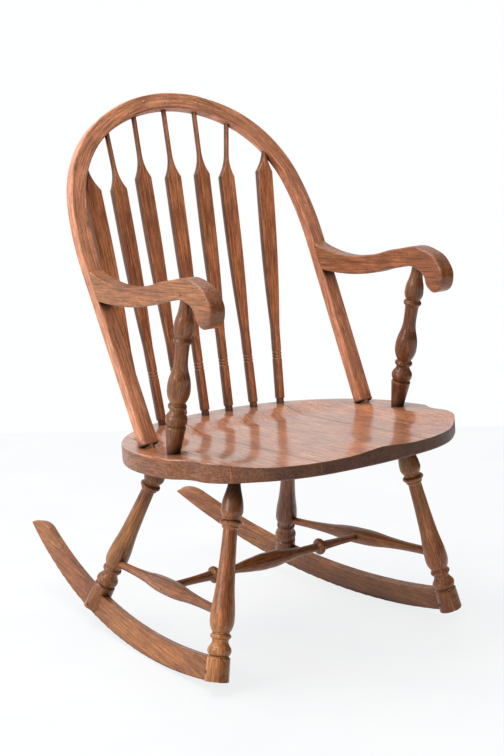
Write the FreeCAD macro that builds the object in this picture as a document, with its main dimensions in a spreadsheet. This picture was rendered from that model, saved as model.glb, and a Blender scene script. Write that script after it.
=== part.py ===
import FreeCAD, Part
import math
import os

import Sketcher

# Hoop back rocking chair.
#
# Places are given in chair coordinates: X to the right as seen from the front, Y to the
# back, Z up, with Y zero where the hoop stands on the seat.  At the end the whole chair is
# tilted forward on its rockers to the stance in which it balances, set down on the floor,
# and moved along Y so that the origin is under its middle.
# Left is the side of negative X, the left of someone who faces the chair.
# The seat has a frame of its own: across, along its sloping top and square to it.

SIZES = {
    # seat
    "seat_height": 360, "seat_slope": 6.3, "seat_width": 559.4, "seat_back_reach": 187,
    "seat_front_reach": 307, "seat_thickness": 32, "seat_edge_round": 3,
    "saddle_depth": 10.5, "saddle_lip": 1.5, "saddle_half_width": 232,
    "saddle_back_reach": 122, "saddle_shoulder": 78, "pommel_half_width": 44,
    "seam_skew": 5.5, "seam_one": -215, "seam_two": -90, "seam_three": 127, "seam_gap": 0.15,
    # bent hoop
    "hoop_lean": 28.4, "hoop_rise": 594, "hoop_top_radius": 266, "hoop_shoulder_radius": 201,
    "hoop_side_radius": 472, "hoop_top_turn": 32, "hoop_shoulder_turn": 46, "hoop_flare": 1.6,
    "hoop_face": 28.6, "hoop_depth": 20, "hoop_round": 3, "hoop_foot_lift": 9,
    "hoop_tenon": 18, "hoop_tenon_depth": 24,
    # arrow spindles
    "spindle_pitch_low": 50.4, "spindle_pitch_high": 65, "spindle_back_reach": 160,
    "spindle_bow_radius": 480, "spindle_paddle_width": 30.5, "spindle_paddle_thickness": 11,
    "spindle_round": 17.2, "spindle_top_dia": 9, "spindle_tenon": 12,
    "spindle_tenon_depth": 19, "spindle_shoulder_lift": 9, "spindle_ring_height": 87.5,
    "spindle_ring_pitch": 5.6, "spindle_ring_depth": 0.9, "spindle_flat_start": 113,
    "spindle_flat_ramp": 44, "spindle_shoulder_drop": 122, "spindle_arrow_length": 29,
    "spindle_top_grip": 11, "outer_shoulder_drop": 54, "outer_paddle_width": 34,
    # arms and their posts
    "arm_height": 584.5, "arm_reach": 306, "arm_rise": 71.5, "arm_width": 29.6, "arm_round": 4,
    "post_edge_inset": 39.2, "post_spread_high": 486, "post_low_front": 78,
    "post_high_front": 119, "post_dia": 37.4, "post_tenon": 21.8, "post_tenon_depth": 21,
    "post_top_tenon": 18.6, "post_top_grip": 20, "post_roof": 621,
    # legs and rockers
    "leg_dia": 39.3, "leg_tenon": 20, "leg_tenon_depth": 22,
    "front_leg_spread_low": 509.6, "front_leg_front_low": 207.7, "front_leg_spread_high": 353,
    "front_leg_front_high": 152, "back_leg_spread_low": 424.2, "back_leg_back_low": 194.7,
    "back_leg_spread_high": 271, "back_leg_back_high": 92, "leg_low_height": 32,
    "leg_foot_drop": 34, "leg_bead_height": 68.5, "front_leg_head_length": 80,
    "back_leg_head_length": 72,
    "front_foot_lift": 0.6, "back_foot_lift": 7.5,
    "rocker_radius": 1040, "rocker_middle_back": 36, "rocker_lean": 14, "rocker_thickness": 18,
    "rocker_height": 41, "rocker_front_height": 38.5, "rocker_tail_height": 34,
    "rocker_front_reach": 270, "rocker_tail_reach": 441, "rocker_tail_bevel": 52,
    "rocker_round": 2.5, "rest_tilt": 2.96,
    # stretchers
    "side_stretcher_dia": 29, "side_stretcher_front_height": 131.5,
    "side_stretcher_back_height": 107.7, "stretcher_grip": 15,
    "cross_stretcher_dia": 29, "cross_stretcher_share": 0.515, "cross_stretcher_grip": 9,
    # pins and screws
    "rocker_pin": 6.5, "rocker_pin_height": 15, "arm_pin": 5, "arm_pin_length": 26,
    "stretcher_pin": 4, "stretcher_pin_length": 21, "arm_screw": 5, "arm_screw_length": 42,
    "arm_screw_head": 9, "arm_screw_head_length": 3,
    # fits
    "fit": 0.1, "end_gap": 0.3,
}


class Size:
    """A length with the sheet expression it comes from, so that drawings can be bound to it."""

    def __init__(self, value, text):
        self.value = float(value)
        self.text = text

    def __add__(self, other):
        return Size(self.value + other.value, "(%s + %s)" % (self.text, other.text))

    def __sub__(self, other):
        return Size(self.value - other.value, "(%s - %s)" % (self.text, other.text))

    def __mul__(self, share):
        return Size(self.value * share, "(%s * %.6f)" % (self.text, share))

    def __neg__(self):
        return self * -1

    def half(self):
        return self * 0.5


doc = FreeCAD.newDocument("rocking_chair")
sheet = doc.addObject("Spreadsheet::Sheet", "sizes")
for row, (alias, number) in enumerate(SIZES.items(), start=1):
    sheet.set("A%d" % row, alias)
    sheet.set("B%d" % row, str(number))
    sheet.setAlias("B%d" % row, alias)
doc.recompute()

ZERO = Size(0, "0")
parts = {}


def size(alias):
    return Size(sheet.get(alias), "sizes.%s" % alias)


def value(alias):
    return float(sheet.get(alias))


def vector(x, y, z):
    return FreeCAD.Vector(x, y, z)


# Frames of the chair

seat_slope = math.radians(value("seat_slope"))
hoop_lean = math.radians(value("hoop_lean"))
seat_along = vector(0, math.cos(seat_slope), -math.sin(seat_slope))
seat_up = vector(0, math.sin(seat_slope), math.cos(seat_slope))
seat_origin = vector(0, 0, value("seat_height"))
hoop_up = vector(0, math.sin(hoop_lean), math.cos(hoop_lean))
hoop_back = vector(0, math.cos(hoop_lean), -math.sin(hoop_lean))
SIDES = {"left": -1, "right": 1}


def on_seat(across, along, above):
    return seat_origin + vector(across, 0, 0) + seat_along * along + seat_up * above


def seat_point(across, back, above):
    """The point over a plan position of the seat's top plane, moved square to it."""
    return on_seat(across, back / math.cos(seat_slope), 0) + seat_up * above


def on_hoop(across, rise, behind):
    return seat_origin + vector(across, 0, 0) + hoop_up * rise + hoop_back * behind


def look(origin, up, front):
    """A placement at origin whose Z runs along up and whose X is as near as can be to front."""
    z_axis = FreeCAD.Vector(up).normalize()
    y_axis = z_axis.cross(front).normalize()
    x_axis = y_axis.cross(z_axis)
    turn = FreeCAD.Rotation(x_axis, y_axis, z_axis, "ZXY")
    return FreeCAD.Placement(origin, turn)


# The rockers: an arc in a plane that toes in to the back and leans in with the legs

front_low = value("front_leg_spread_low") / 2
back_low = value("back_leg_spread_low") / 2
foot_span = value("front_leg_front_low") + value("back_leg_back_low")
toe = math.atan((front_low - back_low) / foot_span)
rocker_lean = math.radians(value("rocker_lean"))
rocker_radius = value("rocker_radius")
middle_back = value("rocker_middle_back")


def rocker_axes(side):
    """Level direction of a rocker to the back, and the direction up its leaning side."""
    level = vector(-side * math.sin(toe), math.cos(toe), 0)
    inward = vector(-side * math.cos(toe), -math.sin(toe), 0)
    rise = inward * math.sin(rocker_lean) + vector(0, 0, math.cos(rocker_lean))
    return level, rise


def rocker_base(side):
    """The lowest point of a rocker's lower edge, in the plane of the two leg axes."""
    _, rise = rocker_axes(side)
    low = value("leg_low_height")
    across = front_low - (middle_back + value("front_leg_front_low")) * math.tan(toe)
    return vector(side * across, middle_back, low) - rise * (low / math.cos(rocker_lean))


def rocker_along(side, point):
    """Distance along a rocker from its lowest point to the place under a point."""
    level, _ = rocker_axes(side)
    return (point - rocker_base(side)).dot(level)


def rocker_frame(side, along, above):
    """A frame on the rocker's lower edge: X along it to the back, Z square to it, upward."""
    level, rise = rocker_axes(side)
    turn = math.asin(along / rocker_radius)
    base = (rocker_base(side) + level * along
            + rise * (rocker_radius * (1 - math.cos(turn))))
    run = level * math.cos(turn) + rise * math.sin(turn)
    up = rise * math.cos(turn) - level * math.sin(turn)
    return look(base + up * above, up, run)


# Drawing helpers

def plane(body, role):
    for feature in body.Origin.OriginFeatures:
        if feature.Role == role:
            return feature
    raise ValueError(role)


def new_body(name):
    body = doc.addObject("PartDesign::Body", name)
    body.Label = name
    return body


def new_sketch(body, name, role):
    sketch = body.newObject("Sketcher::SketchObject", name)
    sketch.AttachmentSupport = [(plane(body, role), "")]
    sketch.MapMode = "FlatFace"
    return sketch


def flat(point):
    return vector(point[0].value, point[1].value, 0)


def draw_loop(sketch, start, legs):
    """Draws a closed outline.  Each leg is (end,) for a line or (end, middle) for an arc.

    The ends of every edge are tied together and their places bound to the sheet.
    """
    here = start
    curves = []
    for leg in legs:
        end = leg[0]
        if len(leg) == 1:
            curves.append(Part.LineSegment(flat(here), flat(end)))
        else:
            curves.append(Part.Arc(flat(here), flat(leg[1]), flat(end)))
        here = end
    edges = sketch.addGeometry(curves, False)
    points = [start] + [leg[0] for leg in legs]
    rules = []
    lengths = {}
    for index, edge in enumerate(edges):
        follower = edges[(index + 1) % len(edges)]
        tail = end_number(sketch, edge, flat(points[index + 1]))
        head = end_number(sketch, follower, flat(points[index + 1]))
        rules.append(Sketcher.Constraint("Coincident", edge, tail, follower, head))
    for index, edge in enumerate(edges):
        corner = end_number(sketch, edge, flat(points[index]))
        for kind, length in zip(("DistanceX", "DistanceY"), points[index]):
            if length.value != 0:
                lengths[len(rules)] = length.text
            rules.append(Sketcher.Constraint(kind, -1, 1, edge, corner, length.value))
    sketch.addConstraint(rules)
    for index, text in lengths.items():
        sketch.setExpression("Constraints[%d]" % index, text)


def end_number(sketch, edge, point):
    """Which end of the edge, 1 or 2, lies on the point."""
    starts = sketch.getPoint(edge, 1)
    ends = sketch.getPoint(edge, 2)
    if (starts - point).Length <= (ends - point).Length:
        return 1
    return 2


def bowed(start, end, bulge):
    """The middle of an arc between two points, which stands off the chord by a share of it."""
    if bulge == 0:
        return (end,)
    chord_x = end[0] - start[0]
    chord_y = end[1] - start[1]
    middle_x = (start[0] + end[0]).half() + chord_y * bulge
    middle_y = (start[1] + end[1]).half() - chord_x * bulge
    return (end, (middle_x, middle_y))


def heading(before, here, after):
    """Direction at the middle one of three points, along the circle through them."""
    first = here - before
    second = after - here
    return (first * (second.Length / first.Length)
            + second * (first.Length / second.Length)).normalize()


def arc_middle(start, end, direction):
    """The middle of the arc from start to end that leaves start in a direction."""
    chord = end - start
    lean = math.atan2(chord.x * direction.y - chord.y * direction.x, chord.dot(direction))
    rise = chord.Length / 2 * math.tan(lean / 2)
    return (start + end) / 2 + vector(-chord.y, chord.x, 0) * (rise / chord.Length)


def flowing(points, alias, first=None, last=None):
    """Legs of tangent arcs, two between neighbours, through a row of points after the first."""
    knots = [flat(point) for point in points]
    ways = [heading(*trio) for trio in zip(knots, knots[1:], knots[2:])]
    if first is None:
        first = mirror_way(knots[1] - knots[0], ways[0])
    if last is None:
        last = mirror_way(knots[-1] - knots[-2], ways[-1])
    ways = [first] + ways + [last]
    legs = []
    for index in range(len(knots) - 1):
        start, end = knots[index], knots[index + 1]
        leave, arrive = ways[index], ways[index + 1]
        chord = end - start
        both = leave + arrive
        spread = 2 * (1 - leave.dot(arrive))
        along = chord.dot(both)
        if spread < 1e-9:
            reach = chord.dot(chord) / (2 * along)
        else:
            reach = (math.sqrt(along ** 2 + spread * chord.dot(chord)) - along) / spread
        joint = (start + end + (leave - arrive) * reach) / 2
        first_middle = arc_middle(start, joint, leave)
        second_middle = arc_middle(end, joint, -arrive)
        legs.append((shared(joint, alias), shared(first_middle, alias)))
        legs.append((points[index + 1], shared(second_middle, alias)))
    return legs


def mirror_way(chord, way):
    """The direction at a row's end that makes its first or last stretch a single arc."""
    unit = FreeCAD.Vector(chord).normalize()
    return unit * (2 * unit.dot(way)) - way


def shared(point, alias):
    """A worked-out point, as sizes that follow one cell."""
    length = size(alias)
    return (length * (point.x / length.value), length * (point.y / length.value))


def turned(name, rows):
    """A turned piece about Z.  Rows hold height, radius and the bulge of the curve that follows."""
    body = new_body(name)
    sketch = new_sketch(body, name + "_profile", "XZ_Plane")
    start = (ZERO, rows[0][0])
    here = (rows[0][1], rows[0][0])
    legs = [(here,)]
    for before, after in zip(rows, rows[1:]):
        there = (after[1], after[0])
        legs.append(bowed(here, there, before[2]))
        here = there
    legs.append(((ZERO, rows[-1][0]),))
    legs.append((start,))
    draw_loop(sketch, start, legs)
    turn = body.newObject("PartDesign::Revolution", name + "_turning")
    turn.Profile = sketch
    turn.ReferenceAxis = (sketch, ["V_Axis"])
    turn.Angle = 360
    sketch.Visibility = False
    return body


def cylinder(name, diameter, length, placement):
    tool = doc.addObject("Part::Cylinder", name)
    tool.setExpression("Radius", "(%s) / 2" % diameter.text)
    tool.setExpression("Height", length.text)
    tool.Radius = diameter.value / 2
    tool.Height = length.value
    tool.Placement = placement
    return tool


def box(name, length, width, height, placement):
    """A box centred across its length and width, standing on the placement."""
    tool = doc.addObject("Part::Box", name)
    for side, extent in (("Length", length), ("Width", width), ("Height", height)):
        setattr(tool, side, extent.value)
        tool.setExpression(side, extent.text)
    shift = vector(-length.value / 2, -width.value / 2, 0)
    tool.Placement = placement.multiply(FreeCAD.Placement(shift, FreeCAD.Rotation()))
    return tool


def joined(name, pieces):
    fuse = doc.addObject("Part::MultiFuse", name)
    fuse.Shapes = pieces
    return fuse


def cut(name, base, tools):
    tool = tools[0] if len(tools) == 1 else joined(name + "_cutters", tools)
    result = doc.addObject("Part::Cut", name)
    result.Base = base
    result.Tool = tool
    return result


def keep(name, obj):
    obj.Label = name
    parts[name] = obj


def round_edges(body, feature, radius, chosen, name):
    """Rounds the edges of a feature for which chosen(edge) holds."""
    doc.recompute()
    names = ["Edge%d" % (i + 1) for i, edge in enumerate(feature.Shape.Edges) if chosen(edge)]
    fillet = body.newObject("PartDesign::Fillet", name)
    fillet.Base = (feature, names)
    fillet.Radius = radius.value
    fillet.setExpression("Radius", radius.text)
    body.Tip = fillet
    return fillet


def pad(body, sketch, length, name):
    feature = body.newObject("PartDesign::Pad", name)
    feature.Profile = sketch
    feature.Midplane = True
    feature.Length = length.value
    feature.setExpression("Length", length.text)
    sketch.Visibility = False
    return feature


# Seat: an outline of arcs, a carved saddle, and boards glued front to back

seat_half = size("seat_width").half()
back_reach = size("seat_back_reach")
front_reach = size("seat_front_reach")
seat_thickness = size("seat_thickness")

# across and along: shares of half the width and of the reach to the back (positive) or to the
# front (negative), from the middle of the back edge round one side to the middle of the front
SEAT_SHARES = ((0, 1), (0.538, 0.829), (0.927, 0.182), (0.996, -0.27), (0.984, -0.375),
               (0.947, -0.44), (0.914, -0.631), (0.70, -0.846), (0, -1))


def seat_outline_point(across_share, along_share):
    reach = back_reach if along_share >= 0 else front_reach
    return (seat_half * across_share, reach * along_share)


def seat_outline():
    points = [seat_outline_point(*shares) for shares in SEAT_SHARES]
    across = vector(1, 0, 0)
    right = flowing(points, "seat_width", across, -across)
    twins = [seat_outline_point(-over, along) for over, along in reversed(SEAT_SHARES)]
    left = flowing(twins, "seat_width", -across, across)
    return points[0], right + left


def smooth(share):
    share = min(max(share, 0.0), 1.0)
    return share * share * (3 - 2 * share)


# shares of the seat's front reach: where the hollow and the ridge between the legs fade
HOLLOW_FADE_SHARES = (0.50, 0.45)
RIDGE_FADE_SHARES = (0.45, 0.4)
RIDGE_HEIGHT_SHARE = 0.45
# how far the carving's surface reaches, in shares of the seat's width and reaches
CARVING_WIDTH_SHARE = 0.56
CARVING_FRONT_SHARE = 1.12
CARVING_BACK_SHARE = 1.15
CARVING_POINTS = 15


def front_fade(along, start_share, length_share):
    """Zero up to a share of the front reach, and one a length share further on."""
    return smooth((-along / value("seat_front_reach") - start_share) / length_share)


def saddle_height(across, along):
    """Height of the carving's surface over the seat's top plane: a lip outside, a hollow inside."""
    shoulder = value("saddle_shoulder")
    side = smooth((value("saddle_half_width") - abs(across)) / shoulder)
    back = smooth((value("saddle_back_reach") - along) / shoulder)
    front = front_fade(along, *HOLLOW_FADE_SHARES)
    hollow = 1 - (1 - side * back) * (1 - front)
    ridge = math.exp(-(across / value("pommel_half_width")) ** 2)
    pommel = 1 - RIDGE_HEIGHT_SHARE * ridge * front_fade(along, *RIDGE_FADE_SHARES)
    lip = value("saddle_lip")
    return lip - (value("saddle_depth") + lip) * hollow * pommel


def saddle_cutter():
    """Everything above the carved surface, as one closed solid in the seat's frame."""
    reach_x = value("seat_width") * CARVING_WIDTH_SHARE
    front = -value("seat_front_reach") * CARVING_FRONT_SHARE
    back = value("seat_back_reach") * CARVING_BACK_SHARE
    grid = []
    for i in range(CARVING_POINTS):
        across = -reach_x + 2 * reach_x * i / (CARVING_POINTS - 1)
        line = []
        for j in range(CARVING_POINTS):
            along = front + (back - front) * j / (CARVING_POINTS - 1)
            line.append(vector(across, along, saddle_height(across, along)))
        grid.append(line)
    surface = Part.BSplineSurface()
    surface.interpolate(grid)
    face = surface.toShape()
    return face.extrude(vector(0, 0, value("seat_thickness") * 2))


seat_placement = look(seat_origin, seat_up, vector(1, 0, 0))
seat_blank = new_body("seat_blank")
seat_sketch = new_sketch(seat_blank, "seat_outline", "XY_Plane")
draw_loop(seat_sketch, *seat_outline())
seat_pad = seat_blank.newObject("PartDesign::Pad", "seat_slab")
seat_pad.Profile = seat_sketch
seat_pad.Reversed = True
seat_pad.Length = seat_thickness.value
seat_pad.setExpression("Length", seat_thickness.text)


def level_edge(edge):
    box_of = edge.BoundBox
    return box_of.ZLength < value("fit")


seat_round = round_edges(seat_blank, seat_pad, size("seat_edge_round"), level_edge, "seat_rim")
seat_blank.Placement = seat_placement
saddle = doc.addObject("Part::Feature", "saddle_cutter")
saddle.Shape = saddle_cutter()
saddle.Placement = seat_placement
doc.recompute()


# Bent hoop: tangent arcs from the crown down to two nearly straight legs

def hoop_turns():
    top = math.radians(value("hoop_top_turn"))
    shoulder = top + math.radians(value("hoop_shoulder_turn"))
    flare = math.pi / 2 + math.radians(value("hoop_flare"))
    return top, shoulder, flare


def hoop_path(offset):
    """Points of half the hoop, offset outward: crown, arc ends with their middles, and foot."""
    top, shoulder, flare = hoop_turns()
    radii = (value("hoop_top_radius"), value("hoop_shoulder_radius"), value("hoop_side_radius"))
    angles = (0.0, top, shoulder, flare)
    centre = (0.0, value("hoop_rise") - radii[0])
    points = []
    for radius, start, end, following in zip(radii, angles, angles[1:], radii[1:] + (None,)):
        middle = (start + end) / 2
        for angle in (middle, end):
            points.append((centre[0] + (radius + offset) * math.sin(angle),
                           centre[1] + (radius + offset) * math.cos(angle)))
        if following is not None:
            shift = radius - following
            centre = (centre[0] + shift * math.sin(end), centre[1] + shift * math.cos(end))
    return points


def hoop_foot(offset, rise):
    """Where the straight leg of the hoop, offset outward, is at a height over the seat."""
    bottom = hoop_path(offset)[-1]
    flare = math.radians(value("hoop_flare"))
    return (bottom[0] - (bottom[1] - rise) * math.tan(flare), rise)


def hoop_center(across):
    """Rise of the hoop's centre line over a distance from the middle, within its crown."""
    top, shoulder, _ = hoop_turns()
    first = value("hoop_top_radius")
    second = value("hoop_shoulder_radius")
    centre_across = (first - second) * math.sin(top)
    centre_rise = value("hoop_rise") - first + (first - second) * math.cos(top)
    if abs(across) <= first * math.sin(top):
        return value("hoop_rise") - first + math.sqrt(first ** 2 - across ** 2)
    return centre_rise + math.sqrt(second ** 2 - (abs(across) - centre_across) ** 2)


def plain(point):
    """A worked-out point, as sizes shared from the hoop's rise."""
    rise = size("hoop_rise")
    return (rise * (point[0] / rise.value), rise * (point[1] / rise.value))


def mirrored(point):
    return (-point[0], point[1])


def hoop_outline():
    half = value("hoop_face") / 2
    lift = value("hoop_foot_lift")
    outer = hoop_path(half)
    inner = hoop_path(-half)
    crown_out = (ZERO, size("hoop_rise") + size("hoop_face").half())
    crown_in = (ZERO, size("hoop_rise") - size("hoop_face").half())
    start = plain(mirrored(outer[1]))
    legs = [(plain(outer[1]), crown_out)]
    legs += [(plain(outer[3]), plain(outer[2])), (plain(outer[5]), plain(outer[4]))]
    legs += [(plain(hoop_foot(half, lift)),), (plain(hoop_foot(-half, lift)),)]
    legs += [(plain(inner[5]),), (plain(inner[3]), plain(inner[4]))]
    legs += [(plain(inner[1]), plain(inner[2]))]
    legs += [(plain(mirrored(inner[1])), crown_in)]
    legs += [(plain(mirrored(inner[3])), plain(mirrored(inner[2])))]
    legs += [(plain(mirrored(inner[5])), plain(mirrored(inner[4])))]
    legs += [(plain(mirrored(hoop_foot(-half, lift))),), (plain(mirrored(hoop_foot(half, lift))),)]
    legs += [(plain(mirrored(outer[5])),)]
    legs += [(plain(mirrored(outer[3])), plain(mirrored(outer[4])))]
    legs += [(start, plain(mirrored(outer[2])))]
    return start, legs


hoop_blank = new_body("hoop_blank")
hoop_sketch = new_sketch(hoop_blank, "hoop_outline", "XZ_Plane")
draw_loop(hoop_sketch, *hoop_outline())
hoop_pad = pad(hoop_blank, hoop_sketch, size("hoop_depth"), "hoop_band")
hoop_fillet = round_edges(hoop_blank, hoop_pad, size("hoop_round"), lambda edge: True, "hoop_edges")
hoop_blank.Placement = look(seat_origin, hoop_up, vector(1, 0, 0))


def hoop_leg_frame(side, rise):
    foot = hoop_foot(0, rise)
    flare = side * math.radians(value("hoop_flare"))
    up = hoop_up * math.cos(flare) + vector(math.sin(flare), 0, 0)
    return look(on_hoop(side * foot[0], rise, 0), up, vector(1, 0, 0))


hoop_pieces = [hoop_blank]
hoop_bores = {}
overrun = size("hoop_round")
for word, side in SIDES.items():
    length = size("hoop_tenon_depth") + size("hoop_foot_lift") + overrun
    base = hoop_leg_frame(side, -value("hoop_tenon_depth"))
    hoop_pieces.append(cylinder("hoop_tenon_" + word, size("hoop_tenon"), length, base))
    bore_base = hoop_leg_frame(side, -value("hoop_tenon_depth") - value("end_gap"))
    bore_length = length + size("end_gap")
    hoop_bores[word] = cylinder("hoop_socket_" + word, size("hoop_tenon") + size("fit") * 2,
                                bore_length, bore_base)
hoop_solid = joined("hoop_solid", hoop_pieces)
doc.recompute()


# Spindles: turned, then flattened front and back above their rings

def spindle_low(number):
    """Plan position on the seat, along a shallow bow that opens to the front."""
    across = number * value("spindle_pitch_low")
    bow = value("spindle_bow_radius")
    back = value("spindle_back_reach") - bow + math.sqrt(bow ** 2 - across ** 2)
    return across, back


def spindle_ends(number):
    across, back = spindle_low(number)
    low = seat_point(across, back, 0)
    high_across = number * value("spindle_pitch_high")
    high = on_hoop(high_across, hoop_center(high_across), 0)
    return low, high


# shares of the spindle's round stem, of the pitch of its rings and of its top
STEM_FOOT_SHARE = 0.93
STEM_SWELL_SHARE = 1.03
RING_START_SHARE = 1.5
RING_EDGE_SHARE = 0.25
ARROW_NECK_SHARE = 1.22
TOP_HOLE_SHARE = 1.03


def spindle_rows(length, drop, width):
    """Heights and radii from the bottom of the tenon to the top, for a spindle of one length."""
    along = size("hoop_rise") * (length / value("hoop_rise"))
    top_end = along - size("hoop_face").half() + size("spindle_top_grip")
    shoulder = along - size("hoop_face").half() - drop
    ring = size("spindle_ring_height")
    pitch = size("spindle_ring_pitch")
    stem = size("spindle_round").half()
    groove = stem - size("spindle_ring_depth")
    tenon = size("spindle_tenon").half()
    lift = size("spindle_shoulder_lift")
    tip = size("spindle_top_dia").half()
    rows = [(-size("spindle_tenon_depth"), tenon, 0), (lift, tenon, 0),
            (lift, stem * STEM_FOOT_SHARE, 0), (ring - pitch * RING_START_SHARE, stem, 0)]
    for step in (-1, 0, 1):
        rows += [(ring + pitch * (step - RING_EDGE_SHARE), stem, 0),
                 (ring + pitch * step, groove, 0),
                 (ring + pitch * (step + RING_EDGE_SHARE), stem, 0)]
    rows += [(size("spindle_flat_start"), stem * STEM_SWELL_SHARE, 0.004),
             (shoulder, width.half(), 0.06),
             (shoulder + size("spindle_arrow_length"), tip * ARROW_NECK_SHARE, 0),
             (top_end, tip, 0)]
    return rows, shoulder, top_end


def flatten(body, name, shoulder, top_end):
    """Cuts the two parallel flats, each with a ramp that runs out above the rings."""
    sketch = new_sketch(body, name + "_flat", "YZ_Plane")
    inner = size("spindle_paddle_thickness").half()
    outer = size("outer_paddle_width")
    low = size("spindle_flat_start")
    ramp = low + size("spindle_flat_ramp")
    start_depth = size("spindle_round").half() * STEM_SWELL_SHARE
    start = (start_depth, low)
    legs = [((outer, low),), ((outer, top_end + inner),), ((inner, top_end + inner),),
            ((inner, ramp),), (start,)]
    draw_loop(sketch, start, legs)
    pocket = body.newObject("PartDesign::Pocket", name + "_front_flat")
    pocket.Profile = sketch
    pocket.Midplane = True
    pocket.Length = outer.value * 2
    pocket.setExpression("Length", "%s * 2" % outer.text)
    sketch.Visibility = False
    twin = body.newObject("PartDesign::Mirrored", name + "_back_flat")
    twin.Originals = [pocket]
    twin.MirrorPlane = (plane(body, "XZ_Plane"), [""])
    body.Tip = twin
    return twin


spindle_bores = []
for index, number in enumerate(range(-3, 4), start=1):
    name = "spindle_%d" % index
    low, high = spindle_ends(number)
    axis = high - low
    outermost = abs(number) == 3
    drop = size("outer_shoulder_drop" if outermost else "spindle_shoulder_drop")
    width = size("outer_paddle_width" if outermost else "spindle_paddle_width")
    rows, shoulder, top_end = spindle_rows(axis.Length, drop, width)
    body = turned(name + "_stock", rows)
    flatten(body, name, shoulder, top_end)
    frame = look(low, axis, vector(1, 0, 0))
    body.Placement = frame
    keep(name, body)
    up = FreeCAD.Vector(axis).normalize()
    socket_base = low - up * (value("spindle_tenon_depth") + value("end_gap"))
    socket_length = size("spindle_tenon_depth") + size("end_gap") + size("spindle_shoulder_lift")
    spindle_bores.append(cylinder(name + "_socket", size("spindle_tenon") + size("fit") * 2,
                                  socket_length, look(socket_base, axis, vector(1, 0, 0))))
    hole_base = low + up * (top_end.value - value("spindle_top_grip") - value("hoop_face"))
    hole_length = size("spindle_top_grip") + size("hoop_face") + size("end_gap")
    hole_dia = size("spindle_top_dia") * TOP_HOLE_SHARE + size("fit") * 2
    hoop_bores[name] = cylinder(name + "_hole", hole_dia, hole_length,
                                look(hole_base, axis, vector(1, 0, 0)))
doc.recompute()


def share_of(alias, number):
    """A worked-out length as a size that follows the cell it is measured against."""
    return size(alias) * (number / value(alias))


# Arms: a side profile butted on the hoop, rising to a scroll, and turned posts below

# back and up: shares of the arm's reach and rise, along the top to the scroll and back below
ARM_SHARES = ((-0.179, 0.4755), (-0.4307, 0.6364), (-0.6039, 0.8601), (-0.8392, 0.993),
              (-0.9503, 0.7902), (-0.9993, 0.4266), (-0.9667, 0.0769), (-0.9275, 0.0182),
              (-0.885, 0.1049), (-0.8425, 0.3916), (-0.7657, 0.5175), (-0.6137, 0.4056),
              (-0.3915, 0.1399), (0, 0))
ARM_BUTT_SHARE = 0.65
ARM_SCREW_SHARE = 0.2

arm_reach = size("arm_reach")
arm_rise = size("arm_rise")
arm_butt_rise = (value("arm_height") - value("seat_height")) / math.cos(hoop_lean)
arm_across = hoop_foot(0, arm_butt_rise)[0]
hoop_front = -value("hoop_depth") / 2 - value("fit")


def hoop_face_back(height):
    """Y of the hoop's front face, a fit in front of it, at a height over the floor."""
    return ((height - value("seat_height")) * math.tan(hoop_lean)
            + hoop_front / math.cos(hoop_lean))


def arm_point(back_share, up_share):
    return (arm_reach * back_share, arm_rise * up_share)


def arm_outline():
    start = (arm_rise * (ARM_BUTT_SHARE * math.tan(hoop_lean)), arm_rise * ARM_BUTT_SHARE)
    points = [start] + [arm_point(*shares) for shares in ARM_SHARES]
    return start, flowing(points, "arm_reach") + [(start,)]


def arm_side_edge(edge):
    """An edge of a side face, apart from the one at the butt joint."""
    slant = math.tan(hoop_lean)
    off_butt = max(abs(corner.Y - corner.Z * slant) for corner in edge.Vertexes)
    return edge.BoundBox.XLength < value("fit") and off_butt > value("fit")


def post_frame(side):
    across = value("seat_width") / 2 - value("post_edge_inset")
    low = seat_point(side * across, -value("post_low_front"), 0)
    high = vector(side * value("post_spread_high") / 2, -value("post_high_front"),
                  value("post_roof"))
    return low, high


# height share of the post, radius share of its thickest turning, bulge of the next curve
POST_SHARES = ((0.0, 0.583, 0), (0.172, 0.877, 0), (0.179, 0.893, 0), (0.1865, 0.83, 0),
               (0.1895, 0.75, 0), (0.196, 0.80, 0.20), (0.268, 0.70, 0), (0.288, 0.607, 0),
               (0.298, 0.64, 0.36), (0.332, 0.64, 0), (0.339, 0.634, 0.08),
               (0.428, 1.0, 0.04), (0.525, 0.80, -0.035), (0.607, 0.585, -0.01),
               (0.700, 0.607, -0.04), (0.729, 0.66, 0.36), (0.762, 0.66, 0), (0.767, 0.64, 0.09),
               (0.830, 0.85, 0.04), (0.900, 0.68, -0.03))

LEG_FOOT_SHARES = ((0.502, 0.94, 0), (0.552, 0.765, 0.235), (0.775, 0.82, 0),
                   (0.861, 0.67, -0.05), (0.942, 0.712, 0.36),
                   (1.058, 0.712, 0), (1.085, 0.702, 0.074), (1.362, 1.0, 0.015))
LEG_HEAD_SHARES = ((1.138, 0.583, 0), (1.10, 0.712, 0), (1.069, 0.69, 0), (1.05, 0.763, 0.40),
                   (0.956, 0.763, 0), (0.938, 0.682, 0), (0.90, 0.712, 0.07),
                   (0.78, 0.919, 0.036), (0.475, 0.738, -0.013))
LEG_SWELL_SHARES = ((0.20, 0.905, -0.008), (0.36, 0.775, -0.006))
LEG_FOOT_SHARE = 1.056
LEG_NECK_SHARE = 0.24


def post_rows(length):
    along = share_of("post_roof", length)
    radius = size("post_dia").half()
    low = size("post_tenon").half()
    top = size("post_top_tenon").half()
    rows = [(-size("post_tenon_depth"), low, 0)]
    rows += [(along * up, radius * out, bulge) for up, out, bulge in POST_SHARES]
    rows[1] = (ZERO, low, 0)
    rows += [(along, top, 0), (along + size("post_top_grip"), top, 0)]
    return rows


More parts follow.
